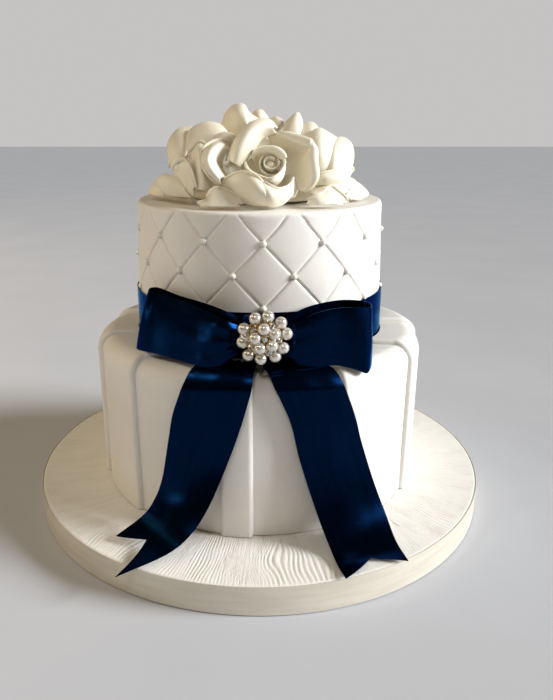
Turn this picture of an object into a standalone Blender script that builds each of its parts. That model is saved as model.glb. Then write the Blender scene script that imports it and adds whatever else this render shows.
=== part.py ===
"""A two-tier wedding cake on its iced drum.

The lower tier is wrapped in folded panels of sugar paste, the upper one is quilted with small sugar
pearls at the crossings. A satin band and bow with two long tails, a pearl brooch and four sugar roses
with loose petals dress it. Units are metres and +Z is up. The front faces -Y, and the origin is the
middle of the drum's underside. An azimuth is measured from the front, positive towards +X.
"""

import math
from dataclasses import dataclass

import bmesh
import bpy
from mathutils import Matrix, Vector

MM = 0.001
GAP = 0.4 * MM

DRUM_RADIUS = 151.0 * MM
DRUM_THICKNESS = 12.5 * MM
DRUM_ICING_TOP = 18.4 * MM
DRUM_ICING_RADIUS = 151.2 * MM
DRUM_RIBBON_RADIUS = 152.4 * MM
DRUM_RIBBON_FOOT = 0.4 * MM
DRUM_RIBBON_TOP = 19.4 * MM
RING_STEPS = 36

CORE_RADIUS = 102.0 * MM
CORE_TOP = 112.8 * MM
SHOULDER = 6.0 * MM

PLEAT_CENTRE = -7.1
STRIP_HALF = 4.7
FIRST_PLEAT = 36.4
BEHIND_TAIL = 3.2
PLEAT_STEP = 31.3
PLEATS_A_SIDE = 5
PLEAT_BACKING = 0.5 * MM
PLEAT_FOLD = 5.1 * MM
PLEAT_LOW = 2.2 * MM
PLEAT_BESIDE_STRIP = 2.6 * MM
STRIP_HEIGHT = 4.9 * MM
PLEAT_VEER = 8.0
PLEAT_INNER_END = 81.9 * MM
PLEAT_ARC_STEPS = 4

TIER_RADIUS = 79.8 * MM
TIER_TAPER = 1.8 * MM
TIER_TOP = 201.2 * MM
TIER_RIM = 6.5 * MM
TIER_RIM_STEPS = 3
QUILT_COLUMNS = 15
QUILT_CELL = 36.6 * MM
QUILT_STEPS = 4
QUILT_DEPTH = 1.3 * MM
QUILT_AZIMUTH = 1.5
QUILT_TOP_ROW = 185.5 * MM
PEARL_ROWS = 3
PEARL_RADIUS = 2.0 * MM
PEARL_LIFT = 0.8 * MM

BAND_INSIDE = 80.3 * MM
BAND_OUTSIDE = 81.1 * MM
BAND_FOOT = 113.4 * MM
BAND_TOP = 146.6 * MM

RIBBON_THICKNESS = 0.9 * MM
RIBBON_CROWN = 1.3 * MM
TAIL_NOTCH = 0.8

ROSE_FLOOR = TIER_TOP + GAP
PETAL_THICKNESS = 1.5 * MM
ROSE_SIDES = 12
STEM_RADIUS = 9.5
PETAL_ROOT = 6.6
ROOM_BANDS = 8
ROOM_BAND_REACH = 5.0

IVORY = ("sugar_ivory", (0.86, 0.82, 0.74), 0.55, 0.0)
WHITE_PASTE = ("sugar_paste_white", (0.85, 0.83, 0.79), 0.5, 0.0)
BOARD_PASTE = ("board_paste_white", (0.83, 0.81, 0.77), 0.6, 0.0)
DRUM_CARD = ("drum_card", (0.72, 0.72, 0.71), 0.35, 0.2)
WHITE_RIBBON = ("white_ribbon", (0.80, 0.75, 0.66), 0.35, 0.0)
NAVY_SATIN = ("navy_satin", (0.004, 0.02, 0.07), 0.3, 0.0)
PEARL = ("pearl", (0.82, 0.76, 0.66), 0.2, 0.1)


@dataclass(frozen=True)
class Petal:
    """One petal of a rose: its angle round the axis and its size. A petal with a belly cups inwards."""

    angle: float
    half_span: float
    rim_radius: float
    rim_height: float
    roll: float = 2.5
    belly: float = 0.0
    tuck: float = 1.5
    foot: float = -21.0


@dataclass(frozen=True)
class Rose:
    """A rose: the middle of its mouth in millimetres, the way that it faces, and its petals."""

    name: str
    centre: tuple
    axis: tuple
    stem: float
    petals: tuple


@dataclass(frozen=True)
class LoosePetal:
    """A petal lying on the upper tier: where its root is, how it points and how it curls up."""

    azimuth: float
    root: float
    length: float
    width: float
    lift: float
    twist: float


def clear_scene():
    for obj in list(bpy.data.objects):
        bpy.data.objects.remove(obj, do_unlink=True)


def new_collection(name):
    collection = bpy.data.collections.new(name)
    bpy.context.scene.collection.children.link(collection)
    return collection


def finish(spec):
    """The Principled material of this name, made once."""
    name, colour, roughness, metallic = spec
    material = bpy.data.materials.get(name)
    if material:
        return material
    material = bpy.data.materials.new(name)
    material.use_nodes = True
    shader = material.node_tree.nodes["Principled BSDF"]
    shader.inputs["Base Color"].default_value = (*colour, 1.0)
    shader.inputs["Roughness"].default_value = roughness
    shader.inputs["Metallic"].default_value = metallic
    return material


def place(bm, name, collection, spec):
    """An object in the collection made from the bmesh, with its material."""
    mesh = bpy.data.meshes.new(name)
    bm.to_mesh(mesh)
    bm.free()
    mesh.materials.append(finish(spec))
    mesh.shade_smooth()
    mesh.set_sharp_from_angle(angle=math.radians(40))
    obj = bpy.data.objects.new(name, mesh)
    collection.objects.link(obj)
    return obj


def around(radius, azimuth, z):
    """The point at this radius and azimuth in degrees."""
    turn = math.radians(azimuth)
    return Vector((radius * math.sin(turn), -radius * math.cos(turn), z))


def mix(first, second, share):
    return first + (second - first) * share


def smooth_route(points):
    """A function of 0..1 that runs through the points, which are in millimetres, on a Catmull-Rom curve."""
    route = [Vector(p) * MM for p in points]
    ends = [2 * route[0] - route[1], *route, 2 * route[-1] - route[-2]]

    def at(share):
        place_on = min(max(share, 0.0), 1.0) * (len(route) - 1)
        k = min(int(place_on), len(route) - 2)
        t = place_on - k
        a, b, c, d = ends[k : k + 4]
        return 0.5 * (
            2 * b
            + (c - a) * t
            + (2 * a - 5 * b + 4 * c - d) * t * t
            + (3 * b - a - 3 * c + d) * t**3
        )

    return at


def turned(name, profile, collection, spec, closed=False):
    """A turned solid: the profile of (radius, z) runs from the top down its outer side."""
    bm = bmesh.new()
    verts = [bm.verts.new((radius, 0.0, z)) for radius, z in profile]
    for a, b in zip(verts, verts[1:]):
        bm.edges.new((a, b))
    if closed:
        bm.edges.new((verts[-1], verts[0]))
    obj = place(bm, name, collection, spec)
    screw = obj.modifiers.new("Turn", "SCREW")
    screw.steps = RING_STEPS
    screw.render_steps = RING_STEPS
    screw.use_merge_vertices = True
    screw.merge_threshold = 0.00001
    screw.use_smooth_shade = True
    return obj


def sheet(name, across, along, point, thickness, collection, spec):
    """A thin curved sheet: a grid laid out by point(u, v), u from -1 to 1 and v from 0 to 1, with a thickness."""
    bm = bmesh.new()
    bmesh.ops.create_grid(bm, x_segments=across, y_segments=along, size=1.0)
    for vert in bm.verts:
        vert.co = point(vert.co.x, 0.5 + 0.5 * vert.co.y)
    obj = place(bm, name, collection, spec)
    solidify = obj.modifiers.new("Thickness", "SOLIDIFY")
    solidify.thickness = thickness
    solidify.offset = 0.0
    return obj


def loft(name, sections, collection, spec, folded_caps=False):
    """A closed solid through sections that are closed loops of as many points each.

    With folded_caps, a loop runs out along one face and back along the other, and its ends are closed by
    quads from the one to the other, which follow a curved section.
    """
    bm = bmesh.new()
    rings = [[bm.verts.new(p) for p in section] for section in sections]
    for lower, upper in zip(rings, rings[1:]):
        for i in range(len(lower)):
            j = (i + 1) % len(lower)
            bm.faces.new((lower[i], lower[j], upper[j], upper[i]))
    for ring in (rings[0], rings[-1]):
        if folded_caps:
            for i in range(len(ring) // 2 - 1):
                bm.faces.new((ring[i], ring[i + 1], ring[-i - 2], ring[-i - 1]))
        else:
            bm.faces.new(ring)
    bmesh.ops.triangulate(bm, faces=bm.faces[:])
    bmesh.ops.recalc_face_normals(bm, faces=bm.faces[:])
    return place(bm, name, collection, spec)


def pearl(centre, radius, sides, rings, collection):
    """A pearl as a ball of few faces."""
    bm = bmesh.new()
    bmesh.ops.create_uvsphere(bm, u_segments=sides, v_segments=rings, radius=radius)
    bmesh.ops.translate(bm, verts=bm.verts[:], vec=centre)
    return place(bm, "pearl", collection, PEARL)


def keep_largest(mesh):
    """Removes loose scraps and the skins of sealed hollows, which are islands smaller than the body."""
    bm = bmesh.new()
    bm.from_mesh(mesh)
    bmesh.ops.triangulate(bm, faces=bm.faces[:])
    left = set(bm.faces)
    islands = []
    while left:
        stack = [left.pop()]
        island = list(stack)
        while stack:
            for edge in stack.pop().edges:
                for face in edge.link_faces if len(edge.link_faces) == 2 else ():
                    if face in left:
                        left.remove(face)
                        island.append(face)
                        stack.append(face)
        islands.append(island)
    for island in sorted(islands, key=len)[:-1]:
        bmesh.ops.delete(bm, geom=island, context="FACES")
    bm.to_mesh(mesh)
    bm.free()


def boolean(obj, others, operation, solver="EXACT"):
    """Joins the objects of a collection to this one, or cuts them from it, and applies the result."""
    modifier = obj.modifiers.new(operation.title(), "BOOLEAN")
    modifier.operation = operation
    modifier.solver = solver
    modifier.operand_type = "COLLECTION"
    modifier.collection = others
    graph = bpy.context.evaluated_depsgraph_get()
    mesh = bpy.data.meshes.new_from_object(obj.evaluated_get(graph))
    obj.modifiers.clear()
    obj.data = mesh
    keep_largest(mesh)


def join(obj, pieces, solver="EXACT"):
    """Fuses the pieces to the object and removes them."""
    boolean(obj, pieces, "UNION", solver)
    for piece in list(pieces.objects):
        bpy.data.objects.remove(piece, do_unlink=True)
    bpy.data.collections.remove(pieces)


def make_drum(cake):
    turned(
        "drum_board",
        [
            (0.0, DRUM_THICKNESS),
            (DRUM_RADIUS - 0.6 * MM, DRUM_THICKNESS),
            (DRUM_RADIUS, DRUM_THICKNESS - 0.6 * MM),
            (DRUM_RADIUS, 0.0),
            (0.0, 0.0),
        ],
        cake,
        DRUM_CARD,
    )
    lip = 1.6 * MM
    turned(
        "board_icing",
        [
            (0.0, DRUM_ICING_TOP),
            (DRUM_ICING_RADIUS - 2 * lip, DRUM_ICING_TOP),
            (DRUM_ICING_RADIUS - 0.6 * lip, DRUM_ICING_TOP - 0.3 * lip),
            (DRUM_ICING_RADIUS, DRUM_ICING_TOP - lip),
            (DRUM_ICING_RADIUS, DRUM_THICKNESS + GAP),
            (0.0, DRUM_THICKNESS + GAP),
        ],
        cake,
        BOARD_PASTE,
    )
    inside = DRUM_ICING_RADIUS + 0.3 * MM
    turned(
        "board_ribbon",
        [
            (inside, DRUM_RIBBON_TOP),
            (DRUM_RIBBON_RADIUS, DRUM_RIBBON_TOP),
            (DRUM_RIBBON_RADIUS, DRUM_RIBBON_FOOT),
            (inside, DRUM_RIBBON_FOOT),
        ],
        cake,
        WHITE_RIBBON,
        closed=True,
    )


def shoulder_arc(radius, top, fillet, steps):
    """Points of a rounded shoulder, from the flat top outwards and down."""
    return [
        (
            radius - fillet + fillet * math.sin(turn),
            top - fillet + fillet * math.cos(turn),
        )
        for turn in (math.pi / 2 * i / steps for i in range(steps + 1))
    ]


def make_bottom_tier(cake):
    foot = DRUM_ICING_TOP + GAP
    profile = [(0.0, CORE_TOP)]
    profile += shoulder_arc(CORE_RADIUS, CORE_TOP, SHOULDER, 2)
    profile += [(CORE_RADIUS, foot), (0.0, foot)]
    turned("bottom_tier", profile, cake, WHITE_PASTE)


def pleat_path(height):
    """(radius, z, outward radius, outward z) down a panel's surface at this height above its backing."""
    reach = PLEAT_BACKING + height
    stations = [(PLEAT_INNER_END, CORE_TOP + reach)]
    for turn in (0.0, math.pi / 4, math.pi / 2):
        out = SHOULDER + reach
        stations.append(
            (
                CORE_RADIUS - SHOULDER + out * math.sin(turn),
                CORE_TOP - SHOULDER + out * math.cos(turn),
            )
        )
    stations.append((CORE_RADIUS + reach, DRUM_ICING_TOP + GAP))
    return stations


def pleat_panel(name, start, end, start_height, end_height, cake):
    """A panel that folds over the shoulder, from one azimuth to another, thick at a folded edge."""
    width = end - start
    side = 1 if width > 0 else -1
    slit = 0.12 * side
    lip = 0.55 * side
    outside = [(start + slit, start_height * 0.72), (start + lip, start_height)]
    for k in range(1, PLEAT_ARC_STEPS):
        share = k / PLEAT_ARC_STEPS
        outside.append((start + width * share, mix(start_height, end_height, share)))
    if end_height == PLEAT_LOW:
        outside.append((end - slit, end_height))
    else:
        outside += [(end - lip, end_height), (end - slit, end_height * 0.72)]
    section = outside + [(azimuth, 0.0) for azimuth, _ in reversed(outside)]
    stations = [[] for _ in pleat_path(0.0)]
    for azimuth, height in section:
        for k, (radius, z) in enumerate(pleat_path(height)):
            veer = PLEAT_VEER * max(0.0, math.cos(math.radians(azimuth)))
            shift = veer * (1.0 if k == 0 else 0.12 if k == 1 else 0.0)
            lean = -shift if azimuth > PLEAT_CENTRE else shift
            near_strip = min(1.0, abs(azimuth - PLEAT_CENTRE) / FIRST_PLEAT - 0.13)
            stations[k].append(
                around(radius, azimuth + lean * max(0.0, near_strip), z)
            )
    return loft(name, stations, cake, WHITE_PASTE, folded_caps=True)


def make_pleats(cake):
    pleat_panel(
        "pleat_strip",
        PLEAT_CENTRE - STRIP_HALF,
        PLEAT_CENTRE + STRIP_HALF,
        STRIP_HEIGHT,
        STRIP_HEIGHT,
        cake,
    )
    for side, label in ((-1, "left"), (1, "right")):
        start = STRIP_HALF
        for k in range(PLEATS_A_SIDE):
            end = FIRST_PLEAT + k * PLEAT_STEP
            if (side, k) == (1, 0):
                end -= BEHIND_TAIL
            high = PLEAT_BESIDE_STRIP if k == 0 else PLEAT_FOLD
            pleat_panel(
                f"pleat_{label}_{k + 1}",
                PLEAT_CENTRE + side * start,
                PLEAT_CENTRE + side * end,
                high,
                PLEAT_LOW,
                cake,
            )
            start = end
    pleat_panel(
        "pleat_back",
        PLEAT_CENTRE + start,
        PLEAT_CENTRE + 360 - start,
        PLEAT_FOLD,
        PLEAT_FOLD,
        cake,
    )


def tier_radius(z):
    """The upper tier's outer radius at a height, with its taper."""
    return TIER_RADIUS - TIER_TAPER * max(0.0, (z - BAND_TOP) / (TIER_TOP - BAND_TOP))


def pillow(fraction):
    """The swell of one diamond across one direction: 0 in a groove and 1 in the middle."""
    return min(1.0, math.sin(math.pi * (fraction % 1.0)) * 1.35)


def make_top_tier(cake):
    """The quilted tier. Its rings step by half a cell's step, so that the grooves run along edges."""
    count = QUILT_COLUMNS * QUILT_STEPS
    cell_turn = 360.0 / QUILT_COLUMNS
    ring_step = QUILT_CELL / (2 * QUILT_STEPS)
    highest = int((TIER_TOP - TIER_RIM - QUILT_TOP_ROW) / ring_step)
    lowest = -int((QUILT_TOP_ROW - BAND_TOP) / ring_step)
    bm = bmesh.new()

    def ring(radius_of, z, k):
        points = []
        for p in range(count):
            column = (p + 0.5 * (k % 2)) / QUILT_STEPS
            azimuth = QUILT_AZIMUTH + column * cell_turn
            points.append(bm.verts.new(around(radius_of(column), azimuth, z)))
        return points

    def swell(column, level):
        return pillow(column + level) * pillow(column - level)

    foot = CORE_TOP + GAP
    rings = [(ring(lambda c: TIER_RADIUS, foot, lowest - 1), lowest - 1)]
    for k in range(lowest, highest + 1):
        z = QUILT_TOP_ROW + k * ring_step
        level = k / (2 * QUILT_STEPS)

        def radius_of(column, z=z, level=level):
            return tier_radius(z) - QUILT_DEPTH * (1 - swell(column, level))

        rings.append((ring(radius_of, z, k), k))
    arc = shoulder_arc(tier_radius(TIER_TOP), TIER_TOP, TIER_RIM, TIER_RIM_STEPS)
    for i, (radius, z) in enumerate(reversed(arc)):
        k = highest + 1 + i
        level = (z - QUILT_TOP_ROW) / QUILT_CELL
        fade = 1 - i / TIER_RIM_STEPS

        def rim_radius(column, radius=radius, level=level, fade=fade):
            return radius - fade * QUILT_DEPTH * (1 - swell(column, level))

        rings.append((ring(rim_radius, z, k), k))
    for (lower, k), (upper, _) in zip(rings, rings[1:]):
        for p in range(count):
            q = (p + 1) % count
            if k % 2 == 0:
                faces = ((lower[p], lower[q], upper[p]), (lower[q], upper[q], upper[p]))
            else:
                faces = ((lower[p], upper[q], upper[p]), (lower[p], lower[q], upper[q]))
            for face in faces:
                bm.faces.new(face)
    bm.faces.new(reversed(rings[0][0]))
    bm.faces.new(rings[-1][0])
    bmesh.ops.triangulate(bm, faces=[f for f in bm.faces if len(f.verts) > 3])
    bmesh.ops.recalc_face_normals(bm, faces=bm.faces[:])
    tier = place(bm, "top_tier", cake, WHITE_PASTE)

    pearls = new_collection("quilt_pearls")
    for row in range(PEARL_ROWS):
        z = QUILT_TOP_ROW - row * QUILT_CELL / 2
        for column in range(QUILT_COLUMNS):
            azimuth = QUILT_AZIMUTH + (column + 0.5 * (row % 2)) * cell_turn
            out = tier_radius(z) - QUILT_DEPTH + PEARL_LIFT
            centre = around(out, azimuth, z)
            pearl(centre, PEARL_RADIUS, 4, 3, pearls)
    join(tier, pearls)


def make_band(cake):
    turned(
        "ribbon_band",
        [
            (BAND_INSIDE, BAND_TOP),
            (BAND_OUTSIDE, BAND_TOP),
            (BAND_OUTSIDE, BAND_FOOT),
            (BAND_INSIDE, BAND_FOOT),
        ],
        cake,
        NAVY_SATIN,
        closed=True,
    )


LOOP_LEFT_TOP = (
    (-12, -97, 145), (-20, -99.5, 150), (-31, -94, 154.5), (-46, -83, 157), (-59, -73, 158.5),
    (-65, -64.5, 158), (-60, -60, 157.5), (-46, -70.5, 155), (-28, -79.5, 152), (-12, -86, 146),
)  # fmt: skip
LOOP_LEFT_FOOT = (
    (-12, -97, 127), (-21, -100, 122.5), (-33, -97, 121), (-51.5, -78, 119.4), (-66, -68, 119.2),
    (-73.5, -61.5, 119.2), (-67, -53.5, 119.2), (-50, -67, 119.6), (-30, -78.5, 121.5), (-12, -86, 127),
)  # fmt: skip
LOOP_RIGHT_TOP = (
    (14, -97, 145), (20, -100, 148.5), (31, -97.5, 154), (43, -93, 155), (54, -90.5, 154),
    (62, -84, 152), (60, -72, 152), (46, -71.5, 153), (28, -79.5, 151), (14, -86, 146),
)  # fmt: skip
LOOP_RIGHT_FOOT = (
    (14, -97, 127), (21, -100, 123), (31, -98.5, 121.4), (43, -94, 120.2), (54, -94, 117.5),
    (60.5, -92, 115), (63, -80, 119.2), (48, -70, 119.6), (30, -78.5, 121.5), (14, -86, 127),
)  # fmt: skip
TAIL_LEFT_OUTER = (
    (-15, -88, 121), (-26, -90, 119.8), (-36, -94, 119.6), (-41.5, -99.5, 112), (-45.5, -100, 102),
    (-49, -98.5, 91), (-52, -97, 75), (-56.5, -97.5, 51), (-62, -98.5, 37), (-69, -99.5, 27.5),
    (-82.5, -111.5, 22),
)  # fmt: skip
TAIL_LEFT_INNER = (
    (-1.5, -92, 122), (-1.8, -99, 121), (-3, -106, 119.5), (-4, -110.8, 113), (-6, -111, 105),
    (-11.5, -111, 86), (-19, -111.5, 65), (-28.5, -117, 44), (-38, -124, 31.5), (-51, -129.5, 22.5),
    (-76, -146.5, 20.6),
)  # fmt: skip
TAIL_RIGHT_INNER = (
    (1.5, -92, 122), (2.4, -99, 121), (5, -106, 119.5), (8, -110.8, 113.5), (11.5, -111, 106),
    (17.5, -110.5, 91), (22.5, -110.5, 69.5), (32.5, -116, 39), (39, -124, 23.8), (42.3, -136, 20.4),
    (45.5, -147.5, 20.4),
)  # fmt: skip
TAIL_RIGHT_OUTER = (
    (15, -88, 121), (27, -90, 119.8), (39.5, -94.5, 119.6), (46, -99.5, 111.5), (50, -99, 102),
    (54.5, -97, 89), (58.5, -95, 74), (66, -98, 51), (73, -104, 33), (77.5, -117, 22.5),
    (81.5, -132.5, 20.4),
)  # fmt: skip


def ribbon(name, first_edge, second_edge, crown, notch, across, along, cake):
    """A strip of ribbon between two edges, swelling outwards in the middle, with a notched end."""
    first = smooth_route(first_edge)
    second = smooth_route(second_edge)
    spans = len(first_edge) - 1

    def point(u, v):
        share = v * (1 - notch * (1 - abs(u)) / spans)
        a, b = first(share), second(share)
        middle = mix(a, b, 0.5 + 0.5 * u)
        out = Vector((middle.x, middle.y, 0.0)).normalized()
        return middle + out * crown * (1 - u * u)

    return sheet(name, across, along, point, RIBBON_THICKNESS, cake, NAVY_SATIN)


def make_bow(cake):
    loop_shape = {"crown": 0.4 * MM, "notch": 0.0, "across": 2, "along": 17}
    ribbon("bow_loop_left", LOOP_LEFT_FOOT, LOOP_LEFT_TOP, cake=cake, **loop_shape)
    ribbon("bow_loop_right", LOOP_RIGHT_FOOT, LOOP_RIGHT_TOP, cake=cake, **loop_shape)
    tail_shape = {"crown": RIBBON_CROWN, "notch": TAIL_NOTCH, "across": 4, "along": 13}
    ribbon("bow_tail_left", TAIL_LEFT_OUTER, TAIL_LEFT_INNER, cake=cake, **tail_shape)
    ribbon("bow_tail_right", TAIL_RIGHT_OUTER, TAIL_RIGHT_INNER, cake=cake, **tail_shape)

    knot_half = Vector((10.6, 8.2, 12.0)) * MM
    bm = bmesh.new()
    bmesh.ops.create_uvsphere(bm, u_segments=10, v_segments=6, radius=1.0)
    for vert in bm.verts:
        swollen = [math.copysign(abs(c) ** 0.6, c) for c in vert.co]
        vert.co = [c * half for c, half in zip(swollen, knot_half)]
    bmesh.ops.translate(bm, verts=bm.verts[:], vec=Vector((0, -89.9, 136.0)) * MM)
    place(bm, "bow_knot", cake, NAVY_SATIN)


BROOCH_CENTRE = Vector((2.2, -103.6, 139.4)) * MM
BROOCH_TILT = 8.0
BROOCH_PEARL = 3.6 * MM
BROOCH_RINGS = ((1, 0.0, 8.8, 0.0), (6, 6.9, 7.0, 12.0), (10, 11.4, 1.2, 0.0))
BROOCH_DEPTH = 8.0


def make_brooch(cake):
    """A domed cluster of pearls: rings of (count, ring radius, height, turn) on a plate."""
    turn = Matrix.Rotation(math.radians(90 - BROOCH_TILT), 4, "X")
    to_world = Matrix.Translation(BROOCH_CENTRE) @ turn
    bm = bmesh.new()
    bmesh.ops.create_cone(
        bm,
        cap_ends=True,
        segments=14,
        radius1=11.6 * MM,
        radius2=5.4 * MM,
        depth=BROOCH_DEPTH * MM,
        matrix=Matrix.Translation((0, 0, (0.5 * BROOCH_DEPTH - 0.6) * MM)),
    )
    bm.transform(to_world)
    plate = place(bm, "brooch", cake, PEARL)
    pearls = new_collection("brooch_pearls")
    for count, ring, height, start in BROOCH_RINGS:
        for k in range(count):
            turn = math.radians(start + 360 * k / count)
            spot = Vector((ring * math.cos(turn), ring * math.sin(turn), height))
            centre = to_world @ (spot * MM)
            pearl(centre, BROOCH_PEARL, 5, 4, pearls)
    join(plate, pearls)


def rose_frame(rose):
    """The matrix that takes the rose's own frame, in metres, to the world: +Z is the way that it faces."""
    facing = Vector(rose.axis).normalized()
    right = (Vector((1, 0, 0)) - facing * facing.x).normalized()
    up = facing.cross(right)
    turn = Matrix((right, up, facing)).transposed().to_4x4()
    return Matrix.Translation(Vector(rose.centre) * MM) @ turn


def petal_profile(petal, v):
    """(radius, height) in millimetres from the petal's root to its rolled rim, on a cubic curve."""
    rim, top, foot, belly = petal.rim_radius, petal.rim_height, petal.foot, petal.belly
    if belly:
        bends = ((belly * 1.1, foot - 1.0), (belly * 1.2, top + 1.0))
    else:
        bends = ((rim * 0.75, foot + 1.0), (rim - 2.5, top + 2.0))
    handles = ((PETAL_ROOT, foot), *bends, (rim + petal.roll, top - 0.5 * petal.roll))
    weights = ((1 - v) ** 3, 3 * v * (1 - v) ** 2, 3 * v * v * (1 - v), v**3)
    return tuple(sum(w * h[i] for w, h in zip(weights, handles)) for i in (0, 1))


def petal_point(petal, to_world):
    """A function of (u, v) that lays out one petal of a rose."""

    def point(u, v):
        reach = v * (1 - 0.22 * abs(u) ** 3)
        radius, height = petal_profile(petal, reach)
        radius += petal.tuck * u * v
        open_share = 0.5 + 0.5 * math.sin(math.pi / 2 * min(1.0, 1.2 * v))
        turn = math.radians(petal.angle + petal.half_span * u * open_share)
        spot = Vector((radius * math.cos(turn), radius * math.sin(turn), height))
        return to_world @ (spot * MM)

    return point


BUD_TURNS = 1.7
BUD_INNER = 2.2
BUD_OUTER = 8.2
BUD_DEPTH = 14.0


def bud_point(to_world):
    """A function of (u, v) that lays out the rolled strip in the middle of a rose."""

    def point(u, v):
        turn = math.tau * BUD_TURNS * v
        top = 1.5 - 2.5 * v
        lip = 0.9 * max(0.0, u) ** 2
        radius = mix(BUD_INNER, BUD_OUTER, v) + lip
        height = mix(-BUD_DEPTH, top, 0.5 + 0.5 * u)
        spot = Vector((radius * math.cos(turn), radius * math.sin(turn), height))
        return to_world @ (spot * MM)

    return point


def rose_cone(rose, radii, collection, name, spec):
    """A turned form on the rose's axis through (radius, height) pairs in millimetres, from the top down."""
    to_world = rose_frame(rose)
    sections = []
    for radius, height in radii:
        ring = []
        for k in range(ROSE_SIDES):
            turn = math.tau * k / ROSE_SIDES
            spot = Vector((radius * math.cos(turn), radius * math.sin(turn), height))
            ring.append(to_world @ (spot * MM))
        sections.append(ring)
    return loft(name, sections, collection, spec)


def make_rose(rose, cake, cutters):
    to_world = rose_frame(rose)
    body = rose_cone(
        rose,
        ((4.5, -8.0), (7.5, -14.0), (8.0, -22.0), (STEM_RADIUS, -22.0 - rose.stem)),
        cake,
        rose.name,
        IVORY,
    )
    pieces = new_collection(rose.name + "_petals")
    sheet("bud", 1, 13, bud_point(to_world), 1.3 * MM, pieces, IVORY)
    for petal in rose.petals:
        point = petal_point(petal, to_world)
        sheet("petal", 4, 3, point, PETAL_THICKNESS, pieces, IVORY)
    join(body, pieces, "MANIFOLD")
    boolean(body, cutters, "DIFFERENCE", "MANIFOLD")
    body.data.name = rose.name


def room_of(rose, cutters):
    """The space that a rose fills, with a gap round it, which is cut from what is made after it."""
    spots = []
    for petal in rose.petals:
        point = petal_point(petal, Matrix.Identity(4))
        for i in range(5):
            for j in range(13):
                spots.append(point(i / 2 - 1, j / 12) / MM)
    margin = (0.5 * PETAL_THICKNESS + GAP) / MM
    foot = min(spot.z for spot in spots) - margin
    top = max(spot.z for spot in spots) + margin
    radii = []
    for k in range(ROOM_BANDS + 1):
        height = mix(top, foot, k / ROOM_BANDS)
        near = [s.xy.length for s in spots if abs(s.z - height) < ROOM_BAND_REACH]
        radii.append(((max(near) + margin) / math.cos(math.pi / ROSE_SIDES), height))
    radii.append((STEM_RADIUS * 1.06 + margin, foot - rose.stem))
    room = rose_cone(rose, radii, cutters, rose.name + "_room", IVORY)
    room.display_type = "WIRE"
    room.hide_render = True


FRONT_ROSE = Rose(
    name="rose_front",
    centre=(4.5, -46, 222.5),
    axis=(0.0, -0.86, 0.51),
    stem=6.0,
    petals=(
        Petal(95, 70, 11.0, 0.0, 1.0),
        Petal(195, 60, 13.0, -1.0, 1.5),
        Petal(-2, 58, 25.5, 0.0, 2.5),
        Petal(112, 50, 24.0, 5.0, 4.0),
        Petal(224, 48, 15.0, 3.0, 0.0, 25.0),
        Petal(290, 44, 14.0, 1.0, 1.0, 23.0),
    ),
)
RIGHT_ROSE = Rose(
    name="rose_right",
    centre=(31, -4, 237),
    axis=(0.06, 0.10, 0.99),
    stem=14.0,
    petals=(
        Petal(345, 50, 22.0, 5.0, 0.0, 31.0),
        Petal(262, 46, 22.0, 3.0, 0.5, 27.0),
        Petal(60, 44, 23.0, 6.0, 0.0, 28.0),
        Petal(185, 40, 16.0, 15.0, 1.0, 22.0),
        Petal(125, 40, 20.0, 10.0, 0.5, 25.0),
    ),
)
LEFT_ROSE = Rose(
    name="rose_left",
    centre=(-26, -25, 228),
    axis=(-0.20, -0.50, 0.84),
    stem=12.0,
    petals=(
        Petal(205, 80, 14.0, 2.0, 3.0),
        Petal(262, 50, 19.0, -3.0, 1.0),
        Petal(168, 40, 24.0, 7.0, 0.0, 32.0),
        Petal(112, 42, 22.0, 10.0, 0.0, 27.0),
        Petal(228, 40, 21.0, -1.0, 0.5, 30.0),
    ),
)
BACK_ROSE = Rose(
    name="rose_back",
    centre=(-1, 22, 238),
    axis=(0.02, 0.12, 0.99),
    stem=18.0,
    petals=(
        Petal(205, 50, 17.0, 20.0, 0.5, 23.0),
        Petal(285, 44, 17.0, 13.0, 2.0, 20.0),
        Petal(345, 44, 22.0, 6.0, 0.5, 29.0),
        Petal(60, 46, 23.0, 3.0, 1.0, 29.0),
        Petal(130, 44, 22.0, 5.0, 0.5, 29.0),
    ),
)
ROSES = (FRONT_ROSE, LEFT_ROSE, RIGHT_ROSE, BACK_ROSE)

LOOSE_PETALS = (
    LoosePetal(-22, 42, 30, 31, 6, 14),
    LoosePetal(-64, 50, 23, 30, 14, -14),
    LoosePetal(-92, 42, 28, 36, 13, 10),
    LoosePetal(36, 38, 31, 30, 9, -14),
    LoosePetal(66, 42, 28, 30, 13, 12),
    LoosePetal(100, 44, 25, 30, 11, -8),
    LoosePetal(-140, 44, 26, 36, 11, 8),
    LoosePetal(148, 46, 24, 38, 11, -10),
)


def loose_petal_point(petal):
    """A function of (u, v) for a petal that lies on the tier, curls up at its tip and folds along its middle."""
    outward = around(1.0, petal.azimuth, 0.0)
    sideways = Vector((-outward.y, outward.x, 0.0))

    def point(u, v):
        broad = petal.width * (0.30 + 0.70 * math.sin(math.pi * min(1.0, 0.12 + 0.80 * v)))
        x = 0.5 * broad * u
        y = petal.root + petal.length * v * (1 - 0.10 * u * u)
        rise = petal.lift * (v**1.6 + 0.35 * u * u * (1 - 0.4 * v))
        roll = math.radians(petal.twist) * v
        z = rise + x * math.sin(roll) + 0.6
        flat = outward * y + sideways * x * math.cos(roll)
        return Vector((flat.x * MM, flat.y * MM, ROSE_FLOOR + max(z, 0.9) * MM))

    return point


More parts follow.
